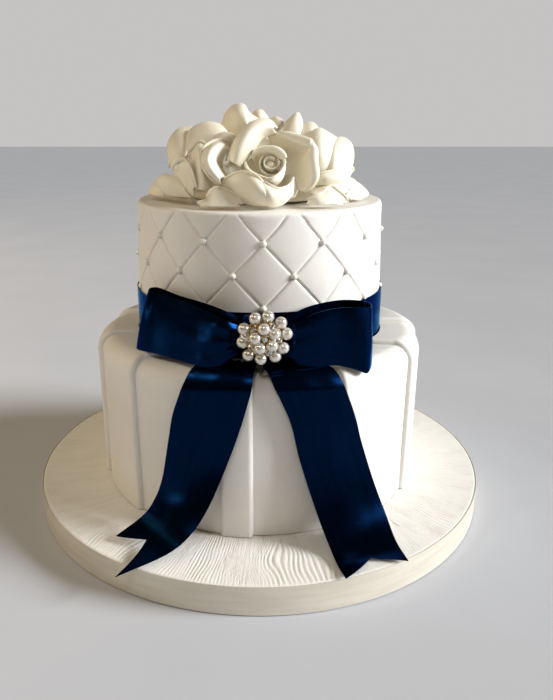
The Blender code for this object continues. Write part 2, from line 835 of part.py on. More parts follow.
def make_flowers(cake, cutters):
    """The roses, each cut clear of those before it and of the tier, and then the loose petals."""
    bm = bmesh.new()
    bmesh.ops.create_cube(bm, size=1.0)
    bmesh.ops.scale(bm, verts=bm.verts[:], vec=(0.3, 0.3, 0.05))
    bmesh.ops.translate(bm, verts=bm.verts[:], vec=(0, 0, ROSE_FLOOR - 0.025))
    floor = place(bm, "tier_room", cutters, IVORY)
    floor.display_type = "WIRE"
    floor.hide_render = True
    for rose in ROSES:
        make_rose(rose, cake, cutters)
        room_of(rose, cutters)
    for number, petal in enumerate(LOOSE_PETALS, start=1):
        point = loose_petal_point(petal)
        name = f"loose_petal_{number}"
        obj = sheet(name, 4, 3, point, 1.2 * MM, cake, IVORY)
        boolean(obj, cutters, "DIFFERENCE", "MANIFOLD")


def main():
    clear_scene()
    cake = new_collection("wedding_cake")
    cutters = new_collection("cutters")
    make_drum(cake)
    make_bottom_tier(cake)
    make_pleats(cake)
    make_top_tier(cake)
    make_band(cake)
    make_bow(cake)
    make_brooch(cake)
    make_flowers(cake, cutters)


main()
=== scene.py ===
"""The dressed wedding cake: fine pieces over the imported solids, their finishes and the studio.

Units are metres in the row frame: the origin is the middle of the board's underside, +Z is up
and the front faces -Y. An azimuth is in degrees from the front, positive towards +X. Point lists
are in millimetres.
"""

import logging
import math
import random
from collections.abc import Callable, Sequence
from dataclasses import dataclass
from enum import Enum
from functools import cached_property

import bpy
from mathutils import Matrix, Vector, noise

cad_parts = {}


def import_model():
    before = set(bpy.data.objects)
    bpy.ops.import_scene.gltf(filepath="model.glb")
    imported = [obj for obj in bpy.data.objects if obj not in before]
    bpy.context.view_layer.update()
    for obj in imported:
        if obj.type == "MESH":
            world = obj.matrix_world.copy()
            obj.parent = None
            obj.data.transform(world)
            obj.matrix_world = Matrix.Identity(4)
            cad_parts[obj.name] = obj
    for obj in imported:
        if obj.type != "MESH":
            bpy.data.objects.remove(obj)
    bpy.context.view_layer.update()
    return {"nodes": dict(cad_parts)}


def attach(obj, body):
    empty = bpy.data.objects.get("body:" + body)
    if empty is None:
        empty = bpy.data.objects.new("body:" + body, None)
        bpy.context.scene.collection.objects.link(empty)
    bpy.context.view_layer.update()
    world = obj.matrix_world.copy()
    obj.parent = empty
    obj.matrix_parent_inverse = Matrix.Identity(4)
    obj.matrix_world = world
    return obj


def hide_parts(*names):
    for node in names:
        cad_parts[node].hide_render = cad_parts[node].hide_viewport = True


log = logging.getLogger("wedding_cake")

MM = 0.001
ROOT = "root"

Colour = tuple[float, float, float]
Point = tuple[float, float, float]
Layout = Callable[[float, float], Vector]


class Hold(Enum):
    """How a ribbon is held."""

    STRETCHED = "stretched"
    FOLDED = "folded"
    HUNG = "hung"


class Side(Enum):
    """A side of the cake as the viewer sees it."""

    LEFT = -1
    RIGHT = 1


def mix(first: float | Vector, second: float | Vector, share: float) -> float | Vector:
    """Goes from first to second by a share of 0 to 1."""
    return first + (second - first) * share


def ease(low: float, high: float, value: float) -> float:
    """A smooth step from 0 at low to 1 at high."""
    share = min(1.0, max(0.0, (value - low) / (high - low)))
    return share * share * (3.0 - 2.0 * share)


def around(radius: float, azimuth: float, z: float) -> Vector:
    """The point at this radius, azimuth in degrees and height."""
    turn = math.radians(azimuth)
    return Vector((radius * math.sin(turn), -radius * math.cos(turn), z))


def smooth_route(points: Sequence[Point]) -> Callable[[float], Vector]:
    """A curve through points.

    Args:
        points: Points in millimetres.

    Returns:
        A function of 0..1 that gives the place on a Catmull-Rom curve, in metres.
    """
    route = [Vector(p) * MM for p in points]
    ends = [2 * route[0] - route[1], *route, 2 * route[-1] - route[-2]]

    def at(share: float) -> Vector:
        """The place at a share of the route."""
        along = min(max(share, 0.0), 1.0) * (len(route) - 1)
        k = min(int(along), len(route) - 2)
        t = along - k
        a, b, c, d = ends[k : k + 4]
        return 0.5 * (
            2 * b
            + (c - a) * t
            + (2 * a - 5 * b + 4 * c - d) * t * t
            + (3 * b - a - 3 * c + d) * t**3
        )

    return at


class Wire:
    """An output socket of a material, with arithmetic that adds Math nodes."""

    def __init__(self, tree: "ShaderTree", socket: bpy.types.NodeSocket) -> None:
        """Wraps a socket.

        Args:
            tree: The tree that the socket is in.
            socket: The output socket.
        """
        self.tree = tree
        self.socket = socket

    def maths(self, operation: str, *values: "Wire | float") -> "Wire":
        """The result of one Math node.

        Args:
            operation: The node's operation.
            values: Its inputs in order.

        Returns:
            The node's output.
        """
        return self.tree.node(
            "ShaderNodeMath", {"operation": operation}, dict(enumerate(values))
        )

    def __add__(self, other: "Wire | float") -> "Wire":
        """Self plus other."""
        return self.maths("ADD", self, other)

    def __radd__(self, other: float) -> "Wire":
        """Other plus self."""
        return self.maths("ADD", other, self)

    def __sub__(self, other: "Wire | float") -> "Wire":
        """Self less other."""
        return self.maths("SUBTRACT", self, other)

    def __rsub__(self, other: float) -> "Wire":
        """Other less self."""
        return self.maths("SUBTRACT", other, self)

    def __mul__(self, other: "Wire | float") -> "Wire":
        """Self times other."""
        return self.maths("MULTIPLY", self, other)

    def __rmul__(self, other: float) -> "Wire":
        """Other times self."""
        return self.maths("MULTIPLY", other, self)

    def step(self, low: float, high: float) -> "Wire":
        """A smooth step of self from 0 at low to 1 at high."""
        return self.tree.node(
            "ShaderNodeMapRange",
            {"interpolation_type": "SMOOTHSTEP"},
            {"Value": self, "From Min": low, "From Max": high},
        )


class ShaderTree:
    """The node tree of one material."""

    def __init__(self, name: str) -> None:
        """Starts a material of this name with its Principled shader."""
        self.material = bpy.data.materials.new(name)
        self.material.use_nodes = True
        self.tree = self.material.node_tree
        self.shader = self.tree.nodes["Principled BSDF"]

    def feed(
        self, socket: bpy.types.NodeSocket, value: "Wire | float | Sequence"
    ) -> None:
        """Links or sets an input socket.

        Args:
            socket: The input socket.
            value: A wire to link, or a constant.
        """
        if isinstance(value, Wire):
            self.tree.links.new(value.socket, socket)
        elif socket.type == "RGBA" and len(value) == 3:
            socket.default_value = (*value, 1.0)
        else:
            socket.default_value = value

    def node(
        self,
        kind: str,
        settings: dict[str, object] | None = None,
        sockets: dict[int | str, object] | None = None,
        output: int | str = 0,
    ) -> Wire:
        """Adds a node.

        Args:
            kind: The node's type.
            settings: Its properties, which are set first.
            sockets: Values or wires for its inputs, by name or place.
            output: Which output to return.

        Returns:
            The wire of that output.
        """
        made = self.tree.nodes.new(kind)
        for key, value in (settings or {}).items():
            setattr(made, key, value)
        for key, value in (sockets or {}).items():
            self.feed(made.inputs[key], value)
        return Wire(self, made.outputs[output])

    def place(self, source: str = "Object") -> Wire:
        """The object's own coordinates, or another output of Texture Coordinate."""
        return self.node("ShaderNodeTexCoord", output=source)

    def stretched(self, vector: Wire, scale: Point) -> Wire:
        """The vector scaled along its axes."""
        return self.node(
            "ShaderNodeMapping", {"vector_type": "POINT"}, {"Vector": vector, "Scale": scale}
        )

    def vector(self, operation: str, sockets: dict[int, object], output: int = 0) -> Wire:
        """One Vector Math node; a length is its output 1."""
        return self.node("ShaderNodeVectorMath", {"operation": operation}, sockets, output)

    def clouds(self, vector: Wire, size: float, detail: float = 2.0) -> Wire:
        """Noise of 0..1.

        Args:
            vector: Where it is read.
            size: The size of its blobs, in the vector's units.
            detail: How many finer layers it has.

        Returns:
            The noise's value.
        """
        return self.node(
            "ShaderNodeTexNoise",
            {"noise_dimensions": "3D"},
            {"Vector": vector, "Scale": 1.0 / size, "Detail": detail, "Roughness": 0.55},
        )

    def blend(
        self, mask: Wire, first: "Wire | Colour", second: "Wire | Colour"
    ) -> Wire:
        """The colour that goes from first to second as the mask goes from 0 to 1."""
        return self.node(
            "ShaderNodeMix", {"data_type": "RGBA"}, {0: mask, 6: first, 7: second}, 2
        )

    def relief(self, height: Wire, depth: float) -> Wire:
        """A bumped normal.

        Args:
            height: Its height of 0..1.
            depth: What a height of 1 stands for, in metres.

        Returns:
            The normal.
        """
        return self.node(
            "ShaderNodeBump", sockets={"Strength": 1.0, "Distance": depth, "Height": height}
        )

    def set(self, **values: object) -> None:
        """Feeds the Principled shader, each socket named in lower case with underscores."""
        for name, value in values.items():
            socket = name.replace("_", " ").title().replace("Ior", "IOR")
            self.feed(self.shader.inputs[socket], value)


@dataclass(frozen=True)
class SugarPaste:
    """Rolled sugar paste: soft, faintly uneven and slightly see-through at its surface."""

    name: str
    colour: Colour
    shade: Colour
    roughness: float = 0.48
    glow: float = 0.12
    bloom: float = 0.05

    def material(self) -> bpy.types.Material:
        """Builds the material."""
        tree = ShaderTree(self.name)
        at = tree.place()
        wide = tree.clouds(at, 32 * MM)
        powder = tree.clouds(at, 1.6 * MM, 3.0)
        fine = tree.clouds(at, 0.45 * MM, 2.0)
        tree.set(
            base_color=tree.blend(
                (wide * 0.7 + powder * 0.3).step(0.35, 0.7), self.shade, self.colour
            ),
            roughness=self.roughness + (powder - 0.5) * 0.16 + (wide - 0.5) * 0.08,
            normal=tree.relief(wide * 0.9 + powder * 0.06 + fine * 0.03, 0.5 * MM),
            subsurface_weight=self.glow,
            subsurface_radius=(1.0, 0.75, 0.5),
            subsurface_scale=2.5 * MM,
            specular_ior_level=0.4,
            sheen_weight=self.bloom,
            sheen_roughness=0.5,
        )
        return tree.material


@dataclass(frozen=True)
class GrainedPaste:
    """Sugar paste with a wood grain pressed in: the fine grain between the modelled ridges, and
    painted shade in its grooves.

    The fine lines fan out from the middle. A line is an angle in radians wide, and that angle
    over the pace is its length in metres.
    """

    name: str
    colour: Colour
    # The colour of the painted shade in the grain's grooves.
    groove: Colour
    line: float = 0.009
    pace: float = 0.5

    def material(self) -> bpy.types.Material:
        """Builds the material."""
        tree = ShaderTree(self.name)
        at = tree.place()
        height = tree.node("ShaderNodeAttribute", {"attribute_name": "grain"}, output="Fac")
        wide = tree.clouds(at, 25 * MM)
        fine = tree.clouds(at, 0.6 * MM, 3.0)
        level = tree.vector("MULTIPLY", {0: at, 1: (1.0, 1.0, 0.0)})
        out = tree.vector("LENGTH", {0: level}, 1) * self.pace
        outwards = tree.node("ShaderNodeCombineXYZ", sockets={"Z": out})
        fan = tree.vector("ADD", {0: tree.vector("NORMALIZE", {0: level}), 1: outwards})
        lines = tree.clouds(fan, self.line, 3.0)
        # Painted shade: the paste darkens where the modelled grain sinks and along the fine lines'
        # hollows.
        tree.set(
            base_color=tree.blend(
                (height * 0.65 + lines * 0.5 + fine * 0.1 - 0.15).step(0.05, 0.75),
                self.groove,
                self.colour,
            ),
            roughness=0.52 + (fine - 0.5) * 0.2,
            normal=tree.relief(lines * 0.5 + fine * 0.12 + wide * 0.4, 0.5 * MM),
            subsurface_weight=0.1,
            subsurface_radius=(1.0, 0.75, 0.5),
            subsurface_scale=2.0 * MM,
            specular_ior_level=0.35,
        )
        return tree.material


@dataclass(frozen=True)
class Satin:
    """Satin ribbon: threads along its length, and a sheen of the ribbon's own colour.

    Soft bands of painted sheen run along the ribbon: they lighten and darken its colour where its
    reflections would, as strongly as their weight says.
    """

    name: str
    thread: Colour
    float_thread: Colour
    gloss: Colour
    roughness: float
    metallic: float
    width: float
    length: float
    painted_sheen_bands: float = 0.22

    def material(self) -> bpy.types.Material:
        """Builds the material on the ribbon's own UV map, u across and v along."""
        tree = ShaderTree(self.name)
        metres = tree.stretched(tree.place("UV"), (self.width, self.length, 1.0))
        threads = tree.clouds(
            tree.stretched(metres, (1 / (0.16 * MM), 1 / (2.4 * MM), 1.0)), 1.0, 1.0
        )
        floats = tree.clouds(
            tree.stretched(metres, (1 / (0.5 * MM), 1 / (0.35 * MM), 1.0)), 1.0, 2.0
        )
        slubs = tree.clouds(metres, 9 * MM)
        # Painted sheen: long soft bands that lighten and darken the colour in place of the satin's
        # reflections.
        painted_sheen_bands = tree.clouds(
            tree.stretched(metres, (1 / (4 * MM), 1 / (45 * MM), 1.0)), 1.0, 2.0
        )
        weave = threads * 0.6 + floats * 0.4
        tree.set(
            base_color=tree.blend(
                (weave * 0.7 + painted_sheen_bands * self.painted_sheen_bands + (0.15 - self.painted_sheen_bands / 2)).step(0.3, 0.7),
                self.thread,
                self.float_thread,
            ),
            roughness=self.roughness + (weave - 0.5) * 0.22 + (slubs - 0.5) * 0.08,
            metallic=self.metallic,
            specular_ior_level=0.5,
            specular_tint=self.gloss,
            normal=tree.relief(weave * 0.12 + slubs * 0.5, 0.25 * MM),
        )
        return tree.material


@dataclass(frozen=True)
class Nacre:
    """The skin of a pearl: an ivory body that shifts at its edge under a clear coat."""

    name: str
    body: Colour
    edge: Colour
    roughness: float = 0.14
    metallic: float = 0.6

    def material(self) -> bpy.types.Material:
        """Builds the material."""
        tree = ShaderTree(self.name)
        facing = tree.node("ShaderNodeLayerWeight", sockets={"Blend": 0.35}, output="Facing")
        cloudy = tree.clouds(tree.place(), 2.2 * MM)
        turned = (facing + (cloudy - 0.5) * 0.3).step(0.1, 0.9)
        tree.set(
            base_color=tree.blend(turned, self.body, self.edge),
            roughness=self.roughness + (cloudy - 0.5) * 0.1,
            metallic=self.metallic,
            coat_weight=0.8,
            coat_roughness=0.06,
            subsurface_weight=0.1,
            subsurface_scale=1.0 * MM,
        )
        return tree.material


@dataclass(frozen=True)
class Wirework:
    """Bright metal with a faint drawn texture, for wire and foil."""

    name: str
    colour: Colour
    roughness: float
    grain: float

    def material(self) -> bpy.types.Material:
        """Builds the material."""
        tree = ShaderTree(self.name)
        rubbed = tree.clouds(tree.place(), self.grain, 3.0)
        tree.set(
            base_color=tree.blend(rubbed, tuple(0.8 * c for c in self.colour), self.colour),
            roughness=self.roughness + (rubbed - 0.5) * 0.2,
            metallic=1.0,
            normal=tree.relief(rubbed, 0.05 * MM),
        )
        return tree.material


@dataclass(frozen=True)
class Crystal:
    """Clear cut crystal over a foiled back, with painted glints in random patches."""

    name: str
    tint: Colour

    def material(self) -> bpy.types.Material:
        """Builds the material."""
        tree = ShaderTree(self.name)
        sparkle = tree.clouds(tree.place(), 1.1 * MM, 1.0)
        # Painted glints: random patches where the stone's colour is bright, with dark grey between.
        tree.set(
            base_color=tree.blend(sparkle.step(0.4, 0.6), (0.35, 0.34, 0.32), self.tint),
            roughness=0.04 + sparkle * 0.06,
            metallic=0.75,
            coat_weight=1.0,
            coat_roughness=0.02,
        )
        return tree.material


WHITE_PASTE = SugarPaste("rolled_sugar_paste", (0.86, 0.835, 0.785), (0.82, 0.785, 0.725))
FLOWER_PASTE = SugarPaste(
    "ivory_flower_paste", (0.875, 0.82, 0.685), (0.85, 0.78, 0.625), 0.5, 0.22, 0.05
)
# The board paste's second colour is painted shade for its grain's grooves.
BOARD_PASTE = GrainedPaste("grained_board_paste", (0.86, 0.835, 0.78), (0.60, 0.56, 0.475))
PEARL = Nacre("ivory_pearl", (0.80, 0.75, 0.68), (0.62, 0.55, 0.46))
SUGAR_PEARL = Nacre("sugar_pearl", (0.86, 0.83, 0.77), (0.76, 0.71, 0.63), 0.24, 0.15)
GOLD_WIRE = Wirework("gold_wire", (0.83, 0.62, 0.30), 0.22, 0.3 * MM)
SILVER_FOIL = Wirework("foil_wrapped_card", (0.74, 0.74, 0.75), 0.32, 1.6 * MM)
CRYSTAL = Crystal("clear_crystal", (0.92, 0.90, 0.86))


def navy(name: str, width: float, length: float) -> Satin:
    """The navy satin, for a ribbon of this width and length in metres."""
    return Satin(
        name,
        thread=(0.0004, 0.0036, 0.017),
        float_thread=(0.0012, 0.0125, 0.050),
        gloss=(0.12, 0.5, 1.0),
        roughness=0.22,
        metallic=0.95,
        width=width,
        length=length,
    )


class Bench:
    """The modelling tools that the pieces share."""

    @staticmethod
    def take(piece: bpy.types.Object) -> None:
        """Makes a piece the only one that operators act on."""
        bpy.ops.object.select_all(action="DESELECT")
        piece.select_set(True)
        bpy.context.view_layer.objects.active = piece

    @staticmethod
    def modify(piece: bpy.types.Object, kind: str, **settings: object) -> None:
        """Adds a modifier with these settings and applies it."""
        Bench.take(piece)
        modifier = piece.modifiers.new(kind.title(), kind)
        for key, value in settings.items():
            setattr(modifier, key, value)
        bpy.ops.object.modifier_apply(modifier=modifier.name)

    @staticmethod
    def smooth(piece: bpy.types.Object, angle: float = 50.0) -> None:
        """Shades a piece smooth but for edges sharper than the angle in degrees."""
        Bench.take(piece)
        bpy.ops.object.shade_smooth_by_angle(angle=math.radians(angle))

    @staticmethod
    def settle(piece: bpy.types.Object) -> None:
        """Puts the piece's place into its mesh."""
        Bench.take(piece)
        bpy.ops.object.transform_apply(location=True, rotation=True, scale=True)

    @staticmethod
    def join(name: str, parts: Sequence[bpy.types.Object]) -> bpy.types.Object:
        """Joins parts into one piece of this name."""
        Bench.take(parts[0])
        for part in parts[1:]:
            part.select_set(True)
        bpy.ops.object.join()
        piece = bpy.context.object
        piece.name = name
        Bench.settle(piece)
        return piece

    @staticmethod
    def outward(piece: bpy.types.Object) -> None:
        """Merges doubles and points the faces outwards."""
        Bench.take(piece)
        bpy.ops.object.mode_set(mode="EDIT")
        bpy.ops.mesh.select_all(action="SELECT")
        bpy.ops.mesh.remove_doubles(threshold=0.000002)
        bpy.ops.mesh.normals_make_consistent(inside=False)
        bpy.ops.object.mode_set(mode="OBJECT")

    @staticmethod
    def sheet(name: str, columns: int, rows: int, layout: Layout) -> bpy.types.Object:
        """A grid laid out by a function.

        Args:
            name: The piece's name.
            columns: Cells across.
            rows: Cells along.
            layout: The place for u of -1..1 across and v of 0..1 along.

        Returns:
            The piece, with a UV map that runs 0..1 both ways.
        """
        bpy.ops.object.select_all(action="DESELECT")
        bpy.ops.mesh.primitive_grid_add(
            x_subdivisions=columns, y_subdivisions=rows, size=2.0, calc_uvs=True
        )
        piece = bpy.context.object
        piece.name = name
        piece.data.name = name
        for vertex in piece.data.vertices:
            vertex.co = layout(vertex.co.x, 0.5 + 0.5 * vertex.co.y)
        return piece

    @staticmethod
    def turned(
        name: str, outline: list[tuple[float, float]], steps: int
    ) -> bpy.types.Object:
        """A turned form, extruded ring by ring as on a lathe.

        Args:
            name: The piece's name.
            outline: (radius, z) pairs.
            steps: Sides. Both ends are filled.

        Returns:
            The piece.
        """
        bpy.ops.object.select_all(action="DESELECT")
        radius, z = outline[0]
        bpy.ops.mesh.primitive_circle_add(
            vertices=steps, radius=radius, fill_type="NOTHING", location=(0, 0, 0)
        )
        piece = bpy.context.object
        piece.name = name
        piece.data.name = name
        bpy.ops.object.mode_set(mode="EDIT")
        bpy.ops.mesh.select_all(action="SELECT")
        bpy.ops.transform.translate(value=(0, 0, z))
        bpy.ops.mesh.edge_face_add()
        for next_radius, next_z in outline[1:]:
            bpy.ops.mesh.extrude_region_move()
            bpy.ops.transform.resize(
                value=(next_radius / radius, next_radius / radius, 1.0), center_override=(0, 0, 0)
            )
            bpy.ops.transform.translate(value=(0, 0, next_z - z))
            radius, z = next_radius, next_z
        bpy.ops.object.mode_set(mode="OBJECT")
        Bench.outward(piece)
        return piece

    @staticmethod
    def finish(
        piece: bpy.types.Object, material: bpy.types.Material, slot: str, *nodes: str
    ) -> bpy.types.Object:
        """Dresses a piece and hangs it on the frame.

        Args:
            piece: The finished piece.
            material: Its material.
            slot: A material slot's name; not used.
            nodes: The CAD nodes that it stands for.

        Returns:
            The piece.
        """
        piece.data.materials.clear()
        piece.data.materials.append(material)
        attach(piece, ROOT)
        if nodes:
            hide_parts(*nodes)
        log.info("%s: %d faces", piece.name, len(piece.data.polygons))
        return piece


def dress_node(node: bpy.types.Object, material: bpy.types.Material) -> None:
    """Gives a kept CAD node its material."""
    node.data.materials.clear()
    node.data.materials.append(material)


@dataclass
class CakeBoard:
    """The thick board: its card, the grained paste on it and the ribbon round its edge.

    The grain's pitch, its coarse and fine waver and its bend at a knot are angles in radians. A
    knot's size is its half width in radians and its half length in millimetres. The hub is the
    radius at which the paste's rings begin and end.
    """

    radius: float = 151.75 * MM
    foot: float = 12.9 * MM
    top: float = 18.4 * MM
    lip: float = 0.9 * MM
    under_cake: float = 99.0 * MM
    ribbon_radius: float = 152.1 * MM
    ribbon_foot: float = 0.4 * MM
    ribbon_top: float = 18.4 * MM
    grain_steps: int = 1500
    grain_rows: int = 40
    grain_depth: float = 0.6 * MM
    grain_pitch: float = 0.0135
    grain_waver: tuple[float, float] = (0.060, 0.016)
    knot_count: int = 17
    knot_bend: float = 0.055
    knot_size: tuple[float, float] = (0.10, 17.0)
    hub: float = 1.2 * MM

    def grain(self, azimuth: float, radius: float) -> float:
        """The height of the pressed wood grain, from 0 in a groove to 1.

        Args:
            azimuth: In radians.
            radius: In metres.

        Returns:
            The height. The grain runs outwards, wavers and closes round a few knots.
        """
        out = radius / MM
        spot = Vector((math.cos(azimuth) * 3.2, math.sin(azimuth) * 3.2, out * 0.016))
        coarse, fine = self.grain_waver
        waver = coarse * noise.noise(spot) + fine * noise.noise(spot * 3.1)
        half_width, half_length = self.knot_size
        loop = 0.0
        for knot_turn, knot_out, bend in self.knots:
            away = math.remainder(azimuth - knot_turn, math.tau) / half_width
            along = (out - knot_out) / half_length
            loop += bend * math.exp(-(away * away + along * along))
        phase = (azimuth + waver + loop) / self.grain_pitch
        sharp = (0.5 + 0.5 * math.sin(math.tau * phase)) ** 0.6
        patch = 0.55 + 0.45 * noise.noise(Vector((phase * 0.31, out * 0.045, 1.7)))
        return 1.0 - (1.0 - sharp) * max(0.15, patch)

    @cached_property
    def knots(self) -> tuple[tuple[float, float, float], ...]:
        """(azimuth in radians, distance out in millimetres, bend) of the knots in the grain."""
        draw = random.Random(11)
        return tuple(
            (
                math.tau * (k + draw.uniform(-0.3, 0.3)) / self.knot_count,
                draw.uniform(108, 146),
                draw.choice((-self.knot_bend, self.knot_bend)),
            )
            for k in range(self.knot_count)
        )

    def paste(self) -> None:
        """The grained paste."""
        rows = [(self.hub, self.top), (self.under_cake, self.top)]
        width = self.radius - 2 * self.lip - self.under_cake
        rows += [
            (self.under_cake + width * k / self.grain_rows, self.top)
            for k in range(1, self.grain_rows + 1)
        ]
        for turn in (0.25, 0.5, 0.75, 1.0):
            angle = turn * math.pi / 2
            rows.append(
                (
                    self.radius - 2 * self.lip * (1 - math.sin(angle)),
                    self.top - self.lip * (1 - math.cos(angle)),
                )
            )
        rows += [(self.radius, self.foot), (self.hub, self.foot)]
        piece = Bench.turned("board_paste", rows, self.grain_steps)
        # The grain attribute is the pressed height, which also sets the painted shade in the
        # grooves.
        grain = piece.data.attributes.new("grain", "FLOAT", "POINT")
        for vertex in piece.data.vertices:
            out = math.hypot(vertex.co.x, vertex.co.y)
            height = 1.0
            if vertex.co.z > self.top - 0.5 * self.lip and out > self.under_cake - MM:
                height = self.grain(math.atan2(vertex.co.x, -vertex.co.y), out)
                fade = 1 - ease(self.radius - 2.6 * self.lip, self.radius - 0.8 * self.lip, out)
                vertex.co.z -= self.grain_depth * (1 - height) * fade
                height = mix(1.0, height, fade)
            grain.data[vertex.index].value = height
        Bench.smooth(piece, 70)
        Bench.finish(piece, BOARD_PASTE.material(), "board_paste_white", "board_icing")

    def ribbon(self) -> None:
        """The white satin ribbon round the board's edge, laid with a faint ripple."""
        length = math.tau * self.ribbon_radius

        def layout(u: float, v: float) -> Vector:
            """u runs up the ribbon and v round the board."""
            azimuth = 180 + 360 * v
            height = mix(self.ribbon_foot, self.ribbon_top, 0.5 + 0.5 * u)
            turn = math.tau * v
            ripple = 0.07 * MM * noise.noise(Vector((math.sin(turn) * 9, math.cos(turn) * 9, u)))
            return around(self.ribbon_radius + ripple - 0.12 * MM * u**4, azimuth, height)

        piece = Bench.sheet("edge_ribbon", 6, 540, layout)
        Bench.modify(piece, "SOLIDIFY", thickness=0.35 * MM, offset=0.0)
        Bench.outward(piece)
        Bench.smooth(piece)
        satin = Satin(
            "white_edge_satin",
            thread=(0.71, 0.65, 0.54),
            float_thread=(0.79, 0.74, 0.635),
            gloss=(1.0, 0.95, 0.86),
            roughness=0.34,
            metallic=0.25,
            width=self.ribbon_top - self.ribbon_foot,
            length=length,
            # Strong painted sheen bands stand in for the white ribbon's reflections.
            painted_sheen_bands=0.9,
        )
        Bench.finish(piece, satin.material(), "white_ribbon", "board_ribbon")

    def build(self, nodes: dict[str, bpy.types.Object]) -> None:
        """Builds the board's pieces and dresses its card."""
        dress_node(nodes["drum_board"], SILVER_FOIL.material())
        self.paste()
        self.ribbon()


@dataclass
class PleatedTier:
    """The lower tier, wrapped in panels of paste with folded edges.

    Down its length, a panel lies on top as far as top_end, bends over the shoulder as far as
    bend_end and hangs from there. Across its width, the fold's wall stands as far as wall_end and
    its rounded nose ends at nose_end. The azimuths, the steps and the veer are in degrees.
    """

    paste: bpy.types.Material
    core_radius: float = 102.0 * MM
    core_top: float = 112.8 * MM
    shoulder: float = 6.0 * MM
    foot: float = 18.85 * MM
    centre: float = -7.1
    strip_half: float = 4.7
    first: float = 36.4
    behind_tail: float = 3.2
    step: float = 31.3
    a_side: int = 5
    backing: float = 0.5 * MM
    fold: float = 5.1 * MM
    low: float = 2.2 * MM
    beside_strip: float = 2.6 * MM
    strip_height: float = 4.9 * MM
    veer: float = 8.0
    inner_end: float = 81.6 * MM
    nose: float = 1.3 * MM
    paste_thickness: float = 1.2 * MM
    top_end: float = 0.22
    bend_end: float = 0.48
    wall_end: float = 0.09
    nose_end: float = 0.25
    wall_set: float = 0.25 * MM
    wall_foot: float = 0.9 * MM
    tuck: float = 0.9 * MM
    lumps: float = 0.35 * MM

    def station(self, height: float, v: float) -> tuple[float, float, float]:
        """A place down a panel's outer surface.

        Args:
            height: The surface's height above the core's backing.
            v: 0 at the inner end on top, 1 at the foot.

        Returns:
            Its radius and z, and how far it is from the shoulder towards the inner end, 0..1.
        """
        reach = self.backing + height
        out = self.shoulder + reach
        edge = self.core_radius - self.shoulder
        if v < self.top_end:
            share = v / self.top_end
            return mix(self.inner_end, edge, share), self.core_top + reach, 1 - share
        if v < self.bend_end:
            turn = math.pi / 2 * (v - self.top_end) / (self.bend_end - self.top_end)
            return (
                edge + out * math.sin(turn),
                self.core_top - self.shoulder + out * math.cos(turn),
                0.0,
            )
        share = (v - self.bend_end) / (1 - self.bend_end)
        return (
            self.core_radius + reach,
            mix(self.core_top - self.shoulder, self.foot, share),
            0.0,
        )

    def lean(self, azimuth: float, inwards: float) -> float:
        """How far a fold swings towards the centre strip on the tier's top, in degrees."""
        veer = self.veer * max(0.0, math.cos(math.radians(azimuth)))
        near = max(0.0, min(1.0, abs(azimuth - self.centre) / self.first - 0.13))
        shift = veer * near * inwards
        return -shift if azimuth > self.centre else shift

    def panel(
        self, name: str, start: float, end: float, high: float, low: float, both: bool = False
    ) -> None:
        """One panel, from its folded edge to the edge that the next fold covers.

        Args:
            name: The CAD node that it stands for.
            start: The folded edge's azimuth in degrees.
            end: The other edge's azimuth.
            high: The surface's height at the fold.
            low: Its height at the other edge.
            both: Whether both edges are folded.
        """
        side = 1 if end > start else -1
        girth = math.radians(abs(end - start)) * self.core_radius
        seed = Vector((start * 0.11, 4.2, 0.0))

        def section(share: float) -> tuple[float, float]:
            """(distance from the start in metres, height) at a share of the panel's width."""
            if both and share > 0.5:
                away, height = section(1 - share)
                return girth - away, height
            rise = high - self.nose
            if share < self.wall_end:
                return self.wall_set, mix(self.wall_foot, rise, share / self.wall_end)
            if share < self.nose_end:
                turn = math.pi / 2 * (share - self.wall_end) / (self.nose_end - self.wall_end)
                return (
                    self.wall_set + self.nose * (1 - math.cos(turn)),
                    rise + self.nose * math.sin(turn),
                )
            across = (share - self.nose_end) / (1 - self.nose_end * (2 if both else 1))
            begin = self.wall_set + self.nose
            end_at = girth - (begin if both else self.tuck)
            return mix(begin, end_at, across), mix(high, low, across)

        def layout(u: float, v: float) -> Vector:
            """u runs across the panel and v from its inner end to its foot."""
            away, height = section(0.5 + 0.5 * u)
            radius, z, inwards = self.station(height, v)
            azimuth = start + side * math.degrees(away / self.core_radius)
            lump = noise.noise(Vector((away * 28, v * 2.2, 0)) + seed) * self.lumps
            radius += lump * ease(0.25, 0.5, v)
            z += lump * (1 - ease(0.25, 0.5, v))
            return around(radius, azimuth + self.lean(azimuth, inwards), z)

        piece = Bench.sheet(name + "_paste", 56, 60, layout)
        Bench.modify(piece, "SOLIDIFY", thickness=self.paste_thickness, offset=-side)
        Bench.outward(piece)
        Bench.smooth(piece)
        Bench.finish(piece, self.paste, "sugar_paste_white", name)

    def build(self, nodes: dict[str, bpy.types.Object]) -> None:
        """Builds the panels and dresses the core."""
        dress_node(nodes["bottom_tier"], self.paste)
        self.panel(
            "pleat_strip",
            self.centre - self.strip_half,
            self.centre + self.strip_half,
            self.strip_height,
            self.strip_height,
            both=True,
        )
        for side in Side:
            start = self.strip_half
            for k in range(self.a_side):
                end = self.first + k * self.step
                if k == 0 and side is Side.RIGHT:
                    end -= self.behind_tail
                self.panel(
                    f"pleat_{side.name.lower()}_{k + 1}",
                    self.centre + side.value * start,
                    self.centre + side.value * end,
                    self.beside_strip if k == 0 else self.fold,
                    self.low,
                )
                start = end
        self.panel(
            "pleat_back",
            self.centre + start,
            self.centre + 360 - start,
            self.fold,
            self.fold,
            both=True,
        )


